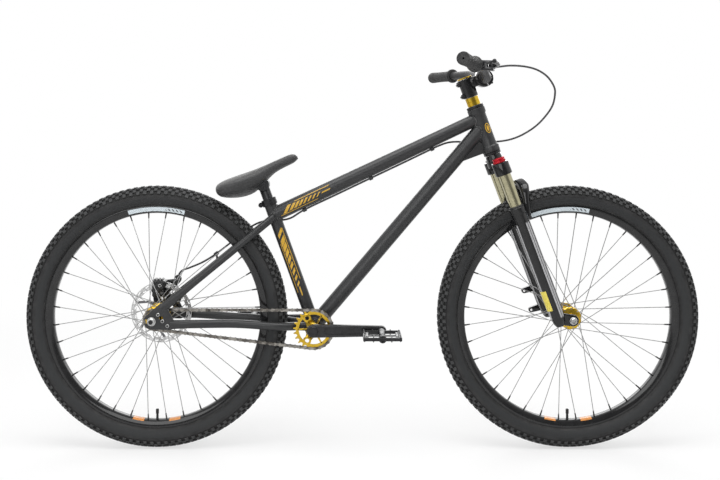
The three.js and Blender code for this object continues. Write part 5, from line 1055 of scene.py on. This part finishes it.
def axle_nut(bm, centre, side, face, radius, length):
    """A round-headed nut with a flange, and the axle's end showing in its middle."""
    profile = [(0, 0), (radius, 0), (radius, 2.6), (radius * 0.86, 3.6), (radius * 0.84, length - 1.4),
               (radius * 0.7, length), (radius * 0.52, length), (radius * 0.48, length - 5), (0, length - 5)]
    turned(bm, profile, centre + ACROSS * side * face, ACROSS * side, steps=36)


for side in (-1, 1):
    axle_nut(nut_bm, REAR_AXLE, side, 73.8, 11, 10)
    turned(nut_bm, sleeve(5, 8.4, 61.5, 66.8), REAR_AXLE, ACROSS * side, steps=24)
rod(nut_bm, REAR_AXLE - ACROSS * 74, REAR_AXLE + ACROSS * 74, 4.9, sides=24)
finished(nut_bm, "rear_axle_and_nuts", "frame", steel_finish, "steel", "rear_axle")
dark_steel_finish = finish("dark_steel", (0.03, 0.03, 0.032), (0.06, 0.06, 0.062), (0.28, 0.42), metallic=0.6,
                           scale=110, worn=0.3)
axle_end_bm = bmesh.new()
for side in (-1, 1):
    screw_head(axle_end_bm, REAR_AXLE + ACROSS * side * 78.9, ACROSS * side, 5.1, 2.7, 4.5, 3.3, 2.4, 1.1, steps=28)
finished(axle_end_bm, "rear_axle_ends", "frame", dark_steel_finish, "dark_steel")

# Seat post and collar: a plain alloy post gripped in the seat tube by a slotted collar with a cross bolt.
collar_bm = bmesh.new()
turned(collar_bm, sleeve(14.2, 19.5, 330.5, 348, 0.6), CRANK_CENTRE, SEAT_UP)
SEAT_ANGLE = math.radians(70)
seat_back = Vector((-math.sin(SEAT_ANGLE), 0, -math.cos(SEAT_ANGLE)))
boss = on_seat_tube(339) + seat_back * 22.6
rod(collar_bm, boss - ACROSS * 9, boss - ACROSS * 1.4, 6.4, sides=28)
rod(collar_bm, boss + ACROSS * 1.4, boss + ACROSS * 9, 6.4, sides=28)
finished(collar_bm, "seat_collar", "frame", black_finish, "black_alloy", "seat_clamp", soft=0.3)
collar_bolt_bm = bmesh.new()
screw_head(collar_bolt_bm, boss - ACROSS * 8.8, -ACROSS, 4.2, 3.4, 3.6, 4, 2.2, 1.8)
finished(collar_bolt_bm, "seat_collar_bolt", "frame", black_finish, "black_alloy")
lathed("seat_post", [(0, 235), (13.6, 235), (13.6, 378), (13, 379), (0, 379)], CRANK_CENTRE, SEAT_UP, "seat",
       black_finish, "black_alloy", "seatpost")
clamp_bm = bmesh.new()
turned(clamp_bm, sleeve(0, 17, -17, 17, 0.6), on_seat_tube(387.5), ACROSS)
turned(clamp_bm, [(0, 379.3), (14.6, 379.3), (15.2, 380), (15.2, 412), (0, 412)], CRANK_CENTRE, SEAT_UP)
for side in (-1, 1):
    turned(clamp_bm, [(0, 17), (8.2, 17), (8.2, 18.2), (7.4, 19), (3.4, 19), (3.2, 17.6), (0, 17.6)],
           on_seat_tube(387.5), ACROSS * side, steps=32)
finished(clamp_bm, "saddle_clamp_turned", "seat", black_finish, "black_alloy", "saddle_clamp")

# Fork lowers: cast magnesium, painted gloss black, two legs joined by an arch over the wheel, ahead of the crown.
# The right leg carries a plain yellow strip; brake tabs stand on the back of the left leg.
gloss_black = finish("fork_gloss", (0.006, 0.006, 0.0065), (0.009, 0.009, 0.0095), (0.06, 0.14), scale=90, bump=0.02,
                     coat=0.35)
FORK_LEG = 64
RIGHT_LEG, LEFT_LEG = steered(0, -FORK_LEG, 0), steered(0, FORK_LEG, 0)
LEG_PROFILE = [(0, -2), (7, -2), (11, 0), (14.6, 7), (17.6, 22), (19.7, 44), (19.7, 298), (20.2, 300.6),
               (20.8, 302.6), (20.8, 316.2), (20, 317), (16.5, 317), (16.5, 128), (0, 128)]
lowers_bm = bmesh.new()
for side, leg_foot in ((-1, RIGHT_LEG), (1, LEFT_LEG)):
    turned(lowers_bm, LEG_PROFILE, leg_foot, STEER_UP, steps=56)
    low, high = sorted((side * 50.2, side * 63.8))
    hulled(lowers_bm, [(steered(0, 0, 18), 15), (steered(34, 0, 0), 14.7)], low, high, sides=48, soft=2.2)
arch = [steered(*place) for place in ((19.7, -56, 286), (31.6, -53, 328), (39, -40, 356), (39, 0, 370),
                                      (39, 40, 356), (31.6, 53, 328), (19.7, 56, 286))]
arch_line = eased(arch, 5)
arch_depths = [9, 8, 13.4, 13.4, 13.4, 8, 9]
arch_radii = []
for i in range(len(arch_line)):
    near = min(i // 5, 5)
    arch_radii.append((arch_depths[near] + (arch_depths[near + 1] - arch_depths[near]) * (i / 5 - near), 9))
swept(lowers_bm, arch_line, arch_radii, sides=24, toward=STEER_AHEAD, square=0.8)
leg_paint_and_painted_highlights, tree, place = repainted(gloss_black, "fork_leg_paint", STEER_FOOT, math.atan2(STEER_UP.z, STEER_UP.x))
# Painted highlights: three pale grey streaks along each leg stand for the lamps' reflections in the gloss black.
for low, high in ((-17.6, -15.8), (5.2, 8.8), (11.0, 14.2)):
    line = between(tree, (place["X"], 26, 272, 6.0), (times(tree, place["Z"], -1.0), low, high, 0.7))
    over_colour(leg_paint_and_painted_highlights, times(tree, line, 0.85), (0.48, 0.48, 0.49))
finished(lowers_bm, "fork_lowers_cast", "lowers", leg_paint_and_painted_highlights, "fork_paint", "fork_lowers",
         holes=bores((FRONT_AXLE - ACROSS * 90, FRONT_AXLE + ACROSS * 90, 5.3, 32)))
tab_bm = bmesh.new()
tab_bolts = []
for along in (84, 30):
    tip = steered(-39.7, 0, along + 2)
    hulled(tab_bm, [(steered(-10, 0, along), 9), (tip, 7)], 58.2, 69.8, soft=1.4)
    tab_bolts.append((tip + ACROSS * 40, tip + ACROSS * 90, 3.1, 24))
finished(tab_bm, "fork_brake_tabs", "lowers", gloss_black, "fork_paint", holes=bores(*tab_bolts))
seal_bm = bmesh.new()
for leg_foot in (RIGHT_LEG, LEFT_LEG):
    turned(seal_bm, [(16.1, 316), (19.4, 316), (19.6, 319.4), (17.6, 321.4), (16.4, 322)], leg_foot, STEER_UP)
wiper_finish = finish("wiper_rubber", 0.012, 0.03, (0.45, 0.6), scale=160)
finished(seal_bm, "fork_wipers", "lowers", wiper_finish, "rubber")
strip_finish = finish("yellow_strip", (0.72, 0.60, 0.10), (0.76, 0.64, 0.14), (0.3, 0.42), scale=120, bump=0.03)


def trimmed(bm, place, normal):
    """Cuts away what lies beyond a plane and closes the cut."""
    bmesh.ops.bisect_plane(bm, geom=bm.verts[:] + bm.edges[:] + bm.faces[:], plane_co=place, plane_no=normal,
                           clear_outer=True)
    bmesh.ops.holes_fill(bm, edges=bm.edges[:])


strip_bm = bmesh.new()
turned(strip_bm, sleeve(19.5, 20.05, 46, 98), RIGHT_LEG, STEER_UP)
trimmed(strip_bm, steered(-8, -FORK_LEG, 0), STEER_AHEAD)
trimmed(strip_bm, steered(0, -FORK_LEG - 4, 0), ACROSS)
finished(strip_bm, "fork_strip", "lowers", strip_finish, "fork_paint")
axle_bm = bmesh.new()
for side in (-1, 1):
    axle_nut(axle_bm, FRONT_AXLE, side, 64.3, 9.6, 10)
    turned(axle_bm, sleeve(5, 8.4, 43.9, 49.4), FRONT_AXLE, ACROSS * side, steps=24)
rod(axle_bm, FRONT_AXLE - ACROSS * 64.5, FRONT_AXLE + ACROSS * 64.5, 4.9, sides=24)
finished(axle_bm, "front_axle_and_nuts", "lowers", steel_finish, "steel", "front_axle")

# Fork upper: two alloy stanchions in a forged crown on a steel steerer, with a red adjuster knob over the right leg.
# The stanchions have a warm champagne anodised finish and slide in the lowers.
stanchion_finish = finish("champagne_anodised", (0.34, 0.32, 0.21), (0.40, 0.375, 0.25), (0.14, 0.22), metallic=1,
                          scale=100, bump=0.02)
crown_bm = bmesh.new()
for word, leg_foot in (("right", RIGHT_LEG), ("left", LEFT_LEG)):
    lathed(f"stanchion_{word}_tube", sleeve(13, 16, 213, 404.7), leg_foot, STEER_UP, "steering", stanchion_finish,
           "stanchion", f"stanchion_{word}")
    turned(crown_bm, [(0, 405), (20.3, 405), (21.5, 406.2), (21.5, 435), (20.5, 436.8), (0, 436.8)], leg_foot,
           STEER_UP, steps=56)
turned(crown_bm, [(0, 427), (23, 427), (23, 442), (22, 443.4), (19.6, 457), (0, 457)], STEER_FOOT, STEER_UP,
       steps=56)
CROWN_HALF = [(0, 435, 8.2), (26, 432, 9.6), (50, 425.5, 11.6), (64, 424.5, 11.8)]
crown_web = [(-across, along, tall) for across, along, tall in reversed(CROWN_HALF[1:])] + CROWN_HALF
swept(crown_bm, [steered(0, across, along) for across, along, tall in crown_web],
      [(17, tall) for across, along, tall in crown_web], sides=40, toward=STEER_AHEAD, square=0.6)
finished(crown_bm, "fork_crown_forged", "steering", gloss_black, "fork_paint", "fork_crown")
red_finish = finish("red_anodised", (0.42, 0.008, 0.018), (0.5, 0.016, 0.028), (0.2, 0.34), metallic=0.6, scale=90,
                    bump=0.05, worn=(0.7, 0.1, 0.1))
knob_bm = bmesh.new()
turned(knob_bm, [(0, 437.2), (15, 437.2), (15.5, 437.8), (15.5, 443), (14.6, 443.6), (14.6, 445), (15.5, 445.6),
                 (15.5, 448.4), (14.6, 449.2), (0, 449.2)], RIGHT_LEG, STEER_UP)
for i in range(18):
    angle = i * math.tau / 18
    at = RIGHT_LEG + STEER_AHEAD * (15.4 * math.cos(angle)) + ACROSS * (15.4 * math.sin(angle))
    rod(knob_bm, at + STEER_UP * 438.4, at + STEER_UP * 442.4, 1.0, sides=8)
finished(knob_bm, "adjuster_knob_turned", "steering", red_finish, "red_alloy", "adjuster_knob")
lathed("fork_cap_turned", [(0, 437.2), (15, 437.2), (15.6, 437.8), (15.6, 441.8), (14.6, 443), (6.4, 443), (6, 441),
                           (0, 441)], LEFT_LEG, STEER_UP, "steering", black_finish, "black_alloy", "fork_cap_left")
lathed("steerer_tube", sleeve(11, 14.3, 457.3, 664.6), STEER_FOOT, STEER_UP, "steering", steel_finish, "steel",
       "steerer")

# Stem: machined from gloss black alloy, its back pinched on the steerer by two bolts, its front split for the bar.
# A polished gold spacer sits below it, and a gold cap above.
BAR_AHEAD, BAR_ALONG = 46, 650
SPLIT = 48.65
PINCH_BOLTS = (624.2, 656.8)
bright_gold_finish = finish("gold_polished", (0.52, 0.33, 0.028), (0.62, 0.42, 0.045), (0.05, 0.1), metallic=1,
                            scale=70, bump=0.02)
lathed("headset_spacer_turned", [(14.5, 592.5), (16.7, 592.5), (17.2, 593), (17.2, 603.6), (16.8, 604),
                                 (17.2, 604.4), (17.2, 614.8), (16.7, 615.3), (14.5, 615.3)],
       STEER_FOOT, STEER_UP, "steering", bright_gold_finish, "gold_alloy", "headset_spacer")
lathed("steerer_cap_turned", [(0, 665.4), (18.6, 665.4), (19.2, 666), (19.2, 668.4), (18.2, 669.2), (5.4, 669.2),
                              (5.2, 667), (0, 667)],
       STEER_FOOT, STEER_UP, "steering", bright_gold_finish, "gold_alloy", "steerer_cap")
stem_bm = bmesh.new()
turned(stem_bm, sleeve(14.4, 19.5, 616, 665, 0.6), STEER_FOOT, STEER_UP)
hulled(stem_bm, [(steered(20.6, 0, 650), 13.5), (steered(34, 0, 650), 13.5)], -17, 17, sides=40, soft=3)
for along in PINCH_BOLTS:
    for low, high in ((-9.6, -1), (1, 9.6)):
        hulled(stem_bm, [(steered(-19.5, 0, along), 7), (steered(-13, 0, along), 8)], low, high, sides=28, soft=0.8)
back_bm, face_bm = bmesh.new(), bmesh.new()
for half_bm, ahead, normal in ((back_bm, SPLIT - 1.5, STEER_AHEAD), (face_bm, SPLIT + 1.5, -STEER_AHEAD)):
    hulled(half_bm, [(steered(BAR_AHEAD, 0, BAR_ALONG), 22.9)], -23, 23, sides=64, soft=1.6)
    trimmed(half_bm, steered(ahead, 0, 0), normal)
joined(stem_bm, back_bm)
bar_bore = (steered(BAR_AHEAD, -60, BAR_ALONG), steered(BAR_AHEAD, 60, BAR_ALONG), 16.1, 64)
finished(stem_bm, "stem_machined", "steering", gloss_black, "black_alloy", "stem", holes=bores(bar_bore))
for across in (-16.5, 16.5):
    for along in (-16.6, 16.6):
        screw_head(face_bm, steered(BAR_AHEAD + 12.4, across, BAR_ALONG + along), STEER_AHEAD,
                   4, 3.6, 3.4, 4.2, 2, 2.2, steps=20)
finished(face_bm, "stem_faceplate_machined", "steering", gloss_black, "black_alloy", "stem_faceplate",
         holes=bores(bar_bore))
stem_bolt_bm = bmesh.new()
for along in PINCH_BOLTS:
    screw_head(stem_bolt_bm, steered(-19.5, -9.5, along), -ACROSS, 3.9, 1.6, 3.4, 2.2, 2, 0.8)
finished(stem_bolt_bm, "stem_bolts", "steering", dark_steel_finish, "dark_steel")

# Handlebar: one swaged black alloy tube, thickest in the stem, swept back and up to the grips.
# Grips: moulded black rubber sleeves with fine ribs, a flange at the inner end and a small hole in the outer one.
BAR_END, BAR_BEND = (-36, 345, 705), (10, 195, 684.4)
BAR_HALF = [
    ((BAR_AHEAD, 0, BAR_ALONG), 15.8), ((BAR_AHEAD, 28, BAR_ALONG), 15.8), ((45.4, 42, 650.6), 14.9),
    ((43, 58, 653.8), 13.8), ((40.4, 74, 658.8), 12.8), ((37.8, 92, 664), 11.9), ((34.6, 110, 669.6), 11.2),
    ((30.4, 128, 674), 11.1), ((24.7, 147, 677.2), 11.1), (BAR_BEND, 11.1), (BAR_END, 11.1),
]
bar = [((ahead, -across, along), radius) for (ahead, across, along), radius in reversed(BAR_HALF[1:])] + BAR_HALF
bar_bm = bmesh.new()
swept(bar_bm, [steered(*place) for place, radius in bar], [radius for place, radius in bar], sides=36,
      toward=Vector((0, 0, 1)))


def bar_end(side):
    """The bar's end on one side, and the way from it into the bar."""
    end, bend = (steered(ahead, side * across, along) for ahead, across, along in (BAR_END, BAR_BEND))
    return end, (bend - end).normalized()


bar_finish = finish("bar_black", (0.013, 0.013, 0.014), (0.021, 0.021, 0.022), (0.4, 0.54), scale=90, bump=0.08)
finished(bar_bm, "handlebar_swaged", "steering", bar_finish, "black_alloy", "handlebar",
         holes=bores(*((end - inward * 6, end + inward * 34, 9.2, 32) for end, inward in map(bar_end, (-1, 1)))))
grip_finish = finish("grip_rubber", 0.028, 0.048, (0.5, 0.66), scale=170, bump=0.25, dust=0.15)
profile = [(11.4, -0.8), (2.4, -0.8), (2.4, -2.8), (14.6, -3.4), (15.4, -2.6), (15.4, 5)]
for i in range(17):
    at = 9 + i * 6.6
    bulge = 14.2 + 1.0 * ((at - 65) / 60) ** 2
    profile += [(bulge - 0.5, at), (bulge + 0.2, at + 1.2), (bulge + 0.2, at + 3.8), (bulge - 0.5, at + 5)]
profile += [(15.4, 124), (18.6, 129.4), (19.2, 130.6), (19.2, 134), (18.4, 135), (11.4, 135)]
for side, word in SIDES:
    lathed(f"grip_{word}_ribbed", profile, *bar_end(side), "steering", grip_finish, "rubber", f"grip_{word}",
           steps=40)

# Brake lever: a cast perch clamped inboard of the right grip, with a machined barrel adjuster for the cable.
# The blade is a forged alloy finger on a steel pivot; it swings in the perch's mouth.
LEVER = Matrix((
    (0.94587, 0.31875, 0.061048, 263.39), (-0.31963, 0.94753, 0.005005, -205.71),
    (-0.05625, -0.02425, 0.998122, 969.02), (0, 0, 0, 1),
))
LEVER_X, LEVER_Y, LEVER_Z = (LEVER.to_3x3().col[i] for i in range(3))
PIVOT = (38, 6.5)


def block(bm, matrix, low, high, soft=0.0):
    """A block from one corner to the other, in a frame of its own, with rounded edges."""
    cube = bmesh.new()
    low, high = Vector(low), Vector(high)
    bmesh.ops.create_cube(cube, size=1, matrix=Matrix.Translation((high + low) / 2)
                          @ Matrix.Diagonal((*(high - low), 1)))
    if soft:
        bmesh.ops.bevel(cube, geom=cube.edges[:], offset=soft, offset_type="OFFSET", segments=3, profile=0.5,
                        affect="EDGES", material=-1)
    bmesh.ops.transform(cube, matrix=matrix, verts=cube.verts)
    joined(bm, cube)


perch_bm = bmesh.new()
turned(perch_bm, sleeve(0, 17, 0, 13, 0.6), LEVER.translation, LEVER_Y)
for low, high in ((-12, -5.4), (5.4, 12)):
    block(perch_bm, LEVER, (2, -1.5, low), (42, 22.5, high), 2.2)
block(perch_bm, LEVER, (2, -1.5, -11), (28.2, 22.5, 11), 2.2)
finished(perch_bm, "lever_perch_cast", "steering", black_finish, "black_alloy", "lever_clamp",
         holes=bores((LEVER @ Vector((0, -40, 0)), LEVER @ Vector((0, 60, 0)), 11.35, 48)))
barrel_finish = finish("grey_alloy", (0.3, 0.3, 0.31), (0.4, 0.4, 0.41), (0.25, 0.4), metallic=1, scale=90, worn=0.6)
barrel_bm = bmesh.new()
turned(barrel_bm, [(2.6, 20.2), (5.2, 20.2), (6, 21), (6, 26.6), (5, 27.4), (5, 29), (5.8, 29.8), (5.8, 35.2),
                   (4.6, 36.4), (2.6, 36.4)], LEVER @ Vector((PIVOT[0], 0, 0)), LEVER_Y, steps=32)
for i in range(16):
    angle = i * math.tau / 16
    at = LEVER @ Vector((PIVOT[0] + 5.9 * math.cos(angle), 0, 5.9 * math.sin(angle)))
    rod(barrel_bm, at + LEVER_Y * 21.6, at + LEVER_Y * 26, 0.7, sides=6)
turned(barrel_bm, sleeve(0, 4.2, -12.4, 12.4), LEVER @ Vector((*PIVOT, 0)), LEVER_Z, steps=28)
turned(barrel_bm, [(0, 0), (3.4, 0), (3.4, 2.4), (2.9, 3), (0, 3)], LEVER @ Vector((-4, 6.5, -16)), -LEVER_Z,
       steps=20)
finished(barrel_bm, "barrel_adjuster", "steering", barrel_finish, "steel")
blade_bm = bmesh.new()
blade_frame = LEVER @ Matrix.Translation((*PIVOT, 0)) @ Matrix.Rotation(math.radians(9), 4, "Z")
turned(blade_bm, sleeve(4.4, 8, -4.6, 4.6, 0.6), blade_frame.translation, LEVER_Z, steps=36)
blade_route = eased([(5, -4, 0), (10, -16, 0), (13.4, -38, 0), (13.2, -60, 0), (9, -84, 0), (4.4, -102, 0),
                     (3.4, -112, 0), (6, -119, 0)], 4)
blade_radii = []
for i in range(len(blade_route)):
    share = i / (len(blade_route) - 1)
    blade_radii.append((3.4 + 1.2 * math.sin(math.pi * min(share * 1.6, 1)), 4.7 - 0.4 * share))
blade_radii[-1] = (3.4, 3.8)
swept(blade_bm, [blade_frame @ place for place in blade_route], blade_radii, sides=24, toward=LEVER_X, square=0.75)
bmesh.ops.create_uvsphere(blade_bm, u_segments=24, v_segments=14, radius=5.2,
                          matrix=Matrix.Translation(blade_frame @ Vector((5.6, -119, 0))))
finished(blade_bm, "lever_blade_forged", "lever", black_finish, "black_alloy", "brake_lever", smooth=50)

# Cranks: forged alloy arms, black, with a long milled pocket in the outer face, on a hollow steel spindle.
# A domed bolt holds each arm; the right arm points ahead and the left back.
arm_finish = finish("crank_black", (0.016, 0.016, 0.017), (0.024, 0.024, 0.026), (0.2, 0.34), metallic=0.4, scale=80,
                    bump=0.06, worn=0.16, shine=0.5)
ARM_LENGTH = 170
lathed("crank_spindle_turned", sleeve(8, 12, -73.3, 73.3, 0.4), CRANK_CENTRE, ACROSS, "cranks", dark_steel_finish,
       "dark_steel", "crank_spindle")
crank_bolt_bm = bmesh.new()
for side, word in SIDES:
    ahead = AHEAD * -side
    arm_end = CRANK_CENTRE + ahead * ARM_LENGTH
    arm_bm = bmesh.new()
    hulled(arm_bm, [(CRANK_CENTRE, 16.8), (arm_end, 13.3)], *sorted((side * 58.7, side * 73.3)), sides=48, soft=3.6)
    pocket = bmesh.new()
    hulled(pocket, [(CRANK_CENTRE + ahead * 36, 8.6), (CRANK_CENTRE + ahead * 143, 6.6)],
           *sorted((side * 70.8, side * 80)))
    rod(pocket, CRANK_CENTRE - ACROSS * 90, CRANK_CENTRE + ACROSS * 90, 12.2, sides=48)
    rod(pocket, arm_end - ACROSS * 90, arm_end + ACROSS * 90, 6.4, sides=32)
    finished(arm_bm, f"crank_arm_{word}_forged", "cranks", arm_finish, "black_alloy", f"crank_arm_{word}",
             holes=pocket)
    turned(crank_bolt_bm, [(0, 70.6), (11.7, 70.6), (11.7, 73.6), (10.6, 75), (7.4, 75.4), (7, 73.6), (0, 73.6)],
           CRANK_CENTRE, ACROSS * side, steps=40)
finished(crank_bolt_bm, "crank_bolts", "cranks", arm_finish, "black_alloy")

# Pedals: platforms of black alloy, two rails and end plates round a barrel, with steel grip pins in the rims.
# Each turns on a dark steel axle screwed into its arm, and carries a grey block in front and behind.
PEDAL_MIDDLE = 121.5
PEDAL_AXLE_PROFILE = [(0, 58.8), (6, 58.8), (6, 73.6), (9, 73.6), (9.4, 74), (9.4, 76.8), (9, 77.2), (6, 77.2),
                      (6, 157), (5.4, 158), (0, 158)]
for side, word in SIDES:
    centre = Vector((CRANK_CENTRE.x - side * ARM_LENGTH, side * PEDAL_MIDDLE, CRANK_CENTRE.z))
    here = Matrix.Translation(centre)
    cage_bm = bmesh.new()
    for way in (-1, 1):
        block(cage_bm, here, (way * 43.5 - 3.4, -43.8, -4.6), (way * 43.5 + 3.4, 43.8, 4.6), 1.4)
        block(cage_bm, here, (-44, way * 40.9 - 2.8, -4.4), (44, way * 40.9 + 2.8, 4.4), 1.4)
        block(cage_bm, here, (way * 25 - 18, -4, -1.6), (way * 25 + 18, 4, 1.6), 0.7)
    turned(cage_bm, [(6.4, -43), (8.4, -43), (9.4, -41.8), (9.4, -30), (7.9, -26), (7.9, 26), (9.4, 30), (9.4, 41.8),
                     (8.4, 43), (6.4, 43)], centre, ACROSS, steps=40)
    cage_bores = bores((centre - ACROSS * side * 50, centre + ACROSS * side * 37, 6.4, 32))
    finished(cage_bm, f"pedal_cage_{word}_cast", f"pedal_{word}", black_finish, "black_alloy", f"pedal_cage_{word}",
             holes=cage_bores)
    pin_bm = bmesh.new()
    pins = [(way * 43.5, across, 7.2) for way in (-1, 1) for across in (-36, -18, 0, 18, 36)]
    pins += [(ahead, way * 40.4, 7) for way in (-1, 1) for ahead in (-22, 22)]
    for ahead, across, reach in pins:
        at = centre + Vector((ahead, across, 0))
        rod(pin_bm, at - Vector((0, 0, reach)), at + Vector((0, 0, reach)), 1.4, sides=8)
    finished(pin_bm, f"pedal_pins_{word}", f"pedal_{word}", dark_steel_finish, "dark_steel")
    reflector_finish = finish(f"pedal_block_{word}", 0.2, 0.26, (0.3, 0.42), scale=150)
    block_bm = bmesh.new()
    for way in (-1, 1):
        block(block_bm, here, (way * 36.6 - 2.9, -24, -4), (way * 36.6 + 2.9, 24, 4), 1.2)
    finished(block_bm, f"pedal_blocks_{word}", f"pedal_{word}", reflector_finish, "rubber")
    lathed(f"pedal_axle_{word}_turned", PEDAL_AXLE_PROFILE, centre - ACROSS * side * PEDAL_MIDDLE, ACROSS * side,
           "cranks", dark_steel_finish, "dark_steel", f"pedal_axle_{word}", steps=32)

# Rear brake: a cast black caliper over the disc, with cooling ribs and a hooked arm, bolted behind the left dropout.
# The cable pulls a short steel arm on its outer face.
CALIPER = Vector((-533, 0, 405.7))
caliper_finish = finish("caliper_cast", (0.012, 0.012, 0.013), (0.02, 0.02, 0.021), (0.2, 0.36), scale=70, bump=0.1,
                        coat=0.3)
caliper_bm = bmesh.new()
hulled(caliper_bm, [(CALIPER.x - 3, CALIPER.z - 1, 16), (CALIPER.x - 11, CALIPER.z + 9, 8),
                    (CALIPER.x + 9, CALIPER.z + 7, 9)], 38.2, 69.8, sides=40, soft=3)
for x in (-14, -5, 4):
    block(caliper_bm, Matrix.Translation(CALIPER), (x, 41, 12), (x + 5, 67, 19.4), 1.2)
hook = [(-556, 66, 396), (-551, 66, 386), (-538, 66, 379.5), (-520, 66, 385.5), (-503, 66, 398.5),
        (-489.5, 66, 411.5), (-482.5, 66, 421.5), (-488, 66, 429), (-494, 66, 424)]
hook_line = eased(hook, 4)
swept(caliper_bm, hook_line, [(4, 4.4)] * len(hook_line), sides=20, toward=ACROSS, square=0.5)
CALIPER_SCREW = Vector((-530, 0, 409))
turned(caliper_bm, [(0, 35.8), (9.6, 35.8), (10.4, 36.6), (10.4, 39.5), (0, 39.5)], CALIPER_SCREW, ACROSS, steps=40)
for x in (-549, -517):
    hulled(caliper_bm, [(x, 380.1, 7.2), (x + (2 if x < -533 else -2), 392, 8)], 60.2, 73.3, sides=28, soft=1.4)
turned(caliper_bm, [(0, 69), (11, 69), (11, 74.8), (10, 75.9), (0, 75.9)], CALIPER, ACROSS, steps=40)
disc_slot = bmesh.new()
block(disc_slot, Matrix.Translation(CALIPER), (-40, 48.5, -40), (40, 53.5, 14))
finished(caliper_bm, "caliper_cast", "frame", caliper_finish, "black_alloy", "caliper_body", holes=disc_slot)
bracket_bm = bmesh.new()
hulled(bracket_bm, [(-539, 346.7, 13.8), (-549, 380.1, 8)], 74, 79.6, sides=36, soft=1)
hulled(bracket_bm, [(-549, 380.1, 8), (-517, 380.1, 7.6)], 74, 79.6, sides=36, soft=1)
finished(bracket_bm, "caliper_bracket_cut", "frame", black_finish, "black_alloy", "caliper_bracket")
caliper_screws = bmesh.new()
for x, z in ((-549, 380.1), (-517, 380.1), (-541.5, 350)):
    screw_head(caliper_screws, (x, 79.7, z), ACROSS, 4.8, 1.8, 4.2, 2.6, 2.4, 1)
screw_head(caliper_screws, CALIPER_SCREW + ACROSS * 35.9, -ACROSS, 4.6, 1.6, 4, 2.4, 2.8, -0.6, steps=28)
finished(caliper_screws, "caliper_screws", "frame", steel_finish, "steel")
arm_bm = bmesh.new()
cable_pin = CALIPER + Vector((38, 0, 9.5))
hulled(arm_bm, [(CALIPER, 10.8), (cable_pin, 5)], 76.5, 80.1, sides=36, soft=0.8)
turned(arm_bm, [(0, 79), (4.7, 79), (4.7, 82.6), (3.8, 83.2), (3.8, 89.4), (3.2, 90), (0, 90)], cable_pin, ACROSS,
       steps=28)
turned(arm_bm, [(0, 79), (6, 79), (6, 82.4), (5.2, 83.2), (0, 83.2)], CALIPER, ACROSS, steps=6)
finished(arm_bm, "caliper_arm_cut", "brake_arm", black_finish, "black_alloy", "caliper_arm")

# Saddle: a small pivotal seat, a thin foam pad on a moulded base under one stretched satin-black cover.
# It is wide at the back and a rounded finger at the nose.
SADDLE_LENGTH, SADDLE_HALF, SADDLE_HEIGHT = 226, 66, 56.5
SADDLE_NOSE = Vector((-165, 0, 741))
SADDLE_TILT = math.radians(21)
SADDLE_SIDES = 40
SADDLE_STATIONS = [
    (0, 0.26, 0.02, -0.16), (0.012, 0.5, 0.15, -0.27), (0.04, 0.74, 0.25, -0.38), (0.12, 0.96, 0.31, -0.54),
    (0.25, 1, 0.31, -0.7), (0.4, 0.82, 0.29, -0.71), (0.55, 0.52, 0.28, -0.46), (0.7, 0.34, 0.31, -0.19),
    (0.85, 0.27, 0.34, -0.11), (0.93, 0.24, 0.345, -0.08), (0.975, 0.19, 0.29, -0.02), (1, 0.09, 0.16, 0.03),
]
cover_finish = finish("saddle_cover", (0.038, 0.038, 0.039), (0.054, 0.054, 0.055), (0.32, 0.46), scale=260,
                      bump=0.35, dust=0.12)
SEAT_TURN = Matrix.Translation(SADDLE_NOSE) @ Matrix.Rotation(-SADDLE_TILT, 4, "Y")


def saddle_ring(along, half, top, under):
    """Places round the saddle at one station, from the left edge over the top and back below."""
    places = []
    for i in range(SADDLE_SIDES):
        angle = i * math.tau / SADDLE_SIDES
        wide, tall = math.cos(angle), math.sin(angle)
        reach = half * SADDLE_HALF * math.copysign(abs(wide) ** 0.95, wide)
        if tall < 0:
            reach *= 1 - 0.45 * tall * tall
        middle = (top + under) / 2 if under > -0.4 else (top - 0.4) / 2
        height = middle + ((top if tall > 0 else under) - middle) * abs(tall) ** 0.8
        places.append(SEAT_TURN @ Vector(((along - 1) * SADDLE_LENGTH, reach, height * SADDLE_HEIGHT)))
    return places


saddle_bm = bmesh.new()
loops = []
for station in eased(SADDLE_STATIONS, 3, held=True):
    ring = bmesh.ops.create_circle(saddle_bm, segments=SADDLE_SIDES, radius=1)["verts"]
    for vert, place in zip(ring, saddle_ring(*station)):
        vert.co = place
    loops.append(list({edge for vert in ring for edge in vert.link_edges}))
for here, onward in zip(loops, loops[1:]):
    bmesh.ops.bridge_loops(saddle_bm, edges=here + onward)
for end in (loops[0], loops[-1]):
    bmesh.ops.contextual_create(saddle_bm, geom=end)
for i in range(2):
    bmesh.ops.smooth_vert(saddle_bm, verts=saddle_bm.verts[:], factor=0.3, use_axis_x=True, use_axis_y=True,
                          use_axis_z=True)
saddle = finished(saddle_bm, "saddle_cover", "seat", cover_finish, "plastic", "saddle", smooth=60)
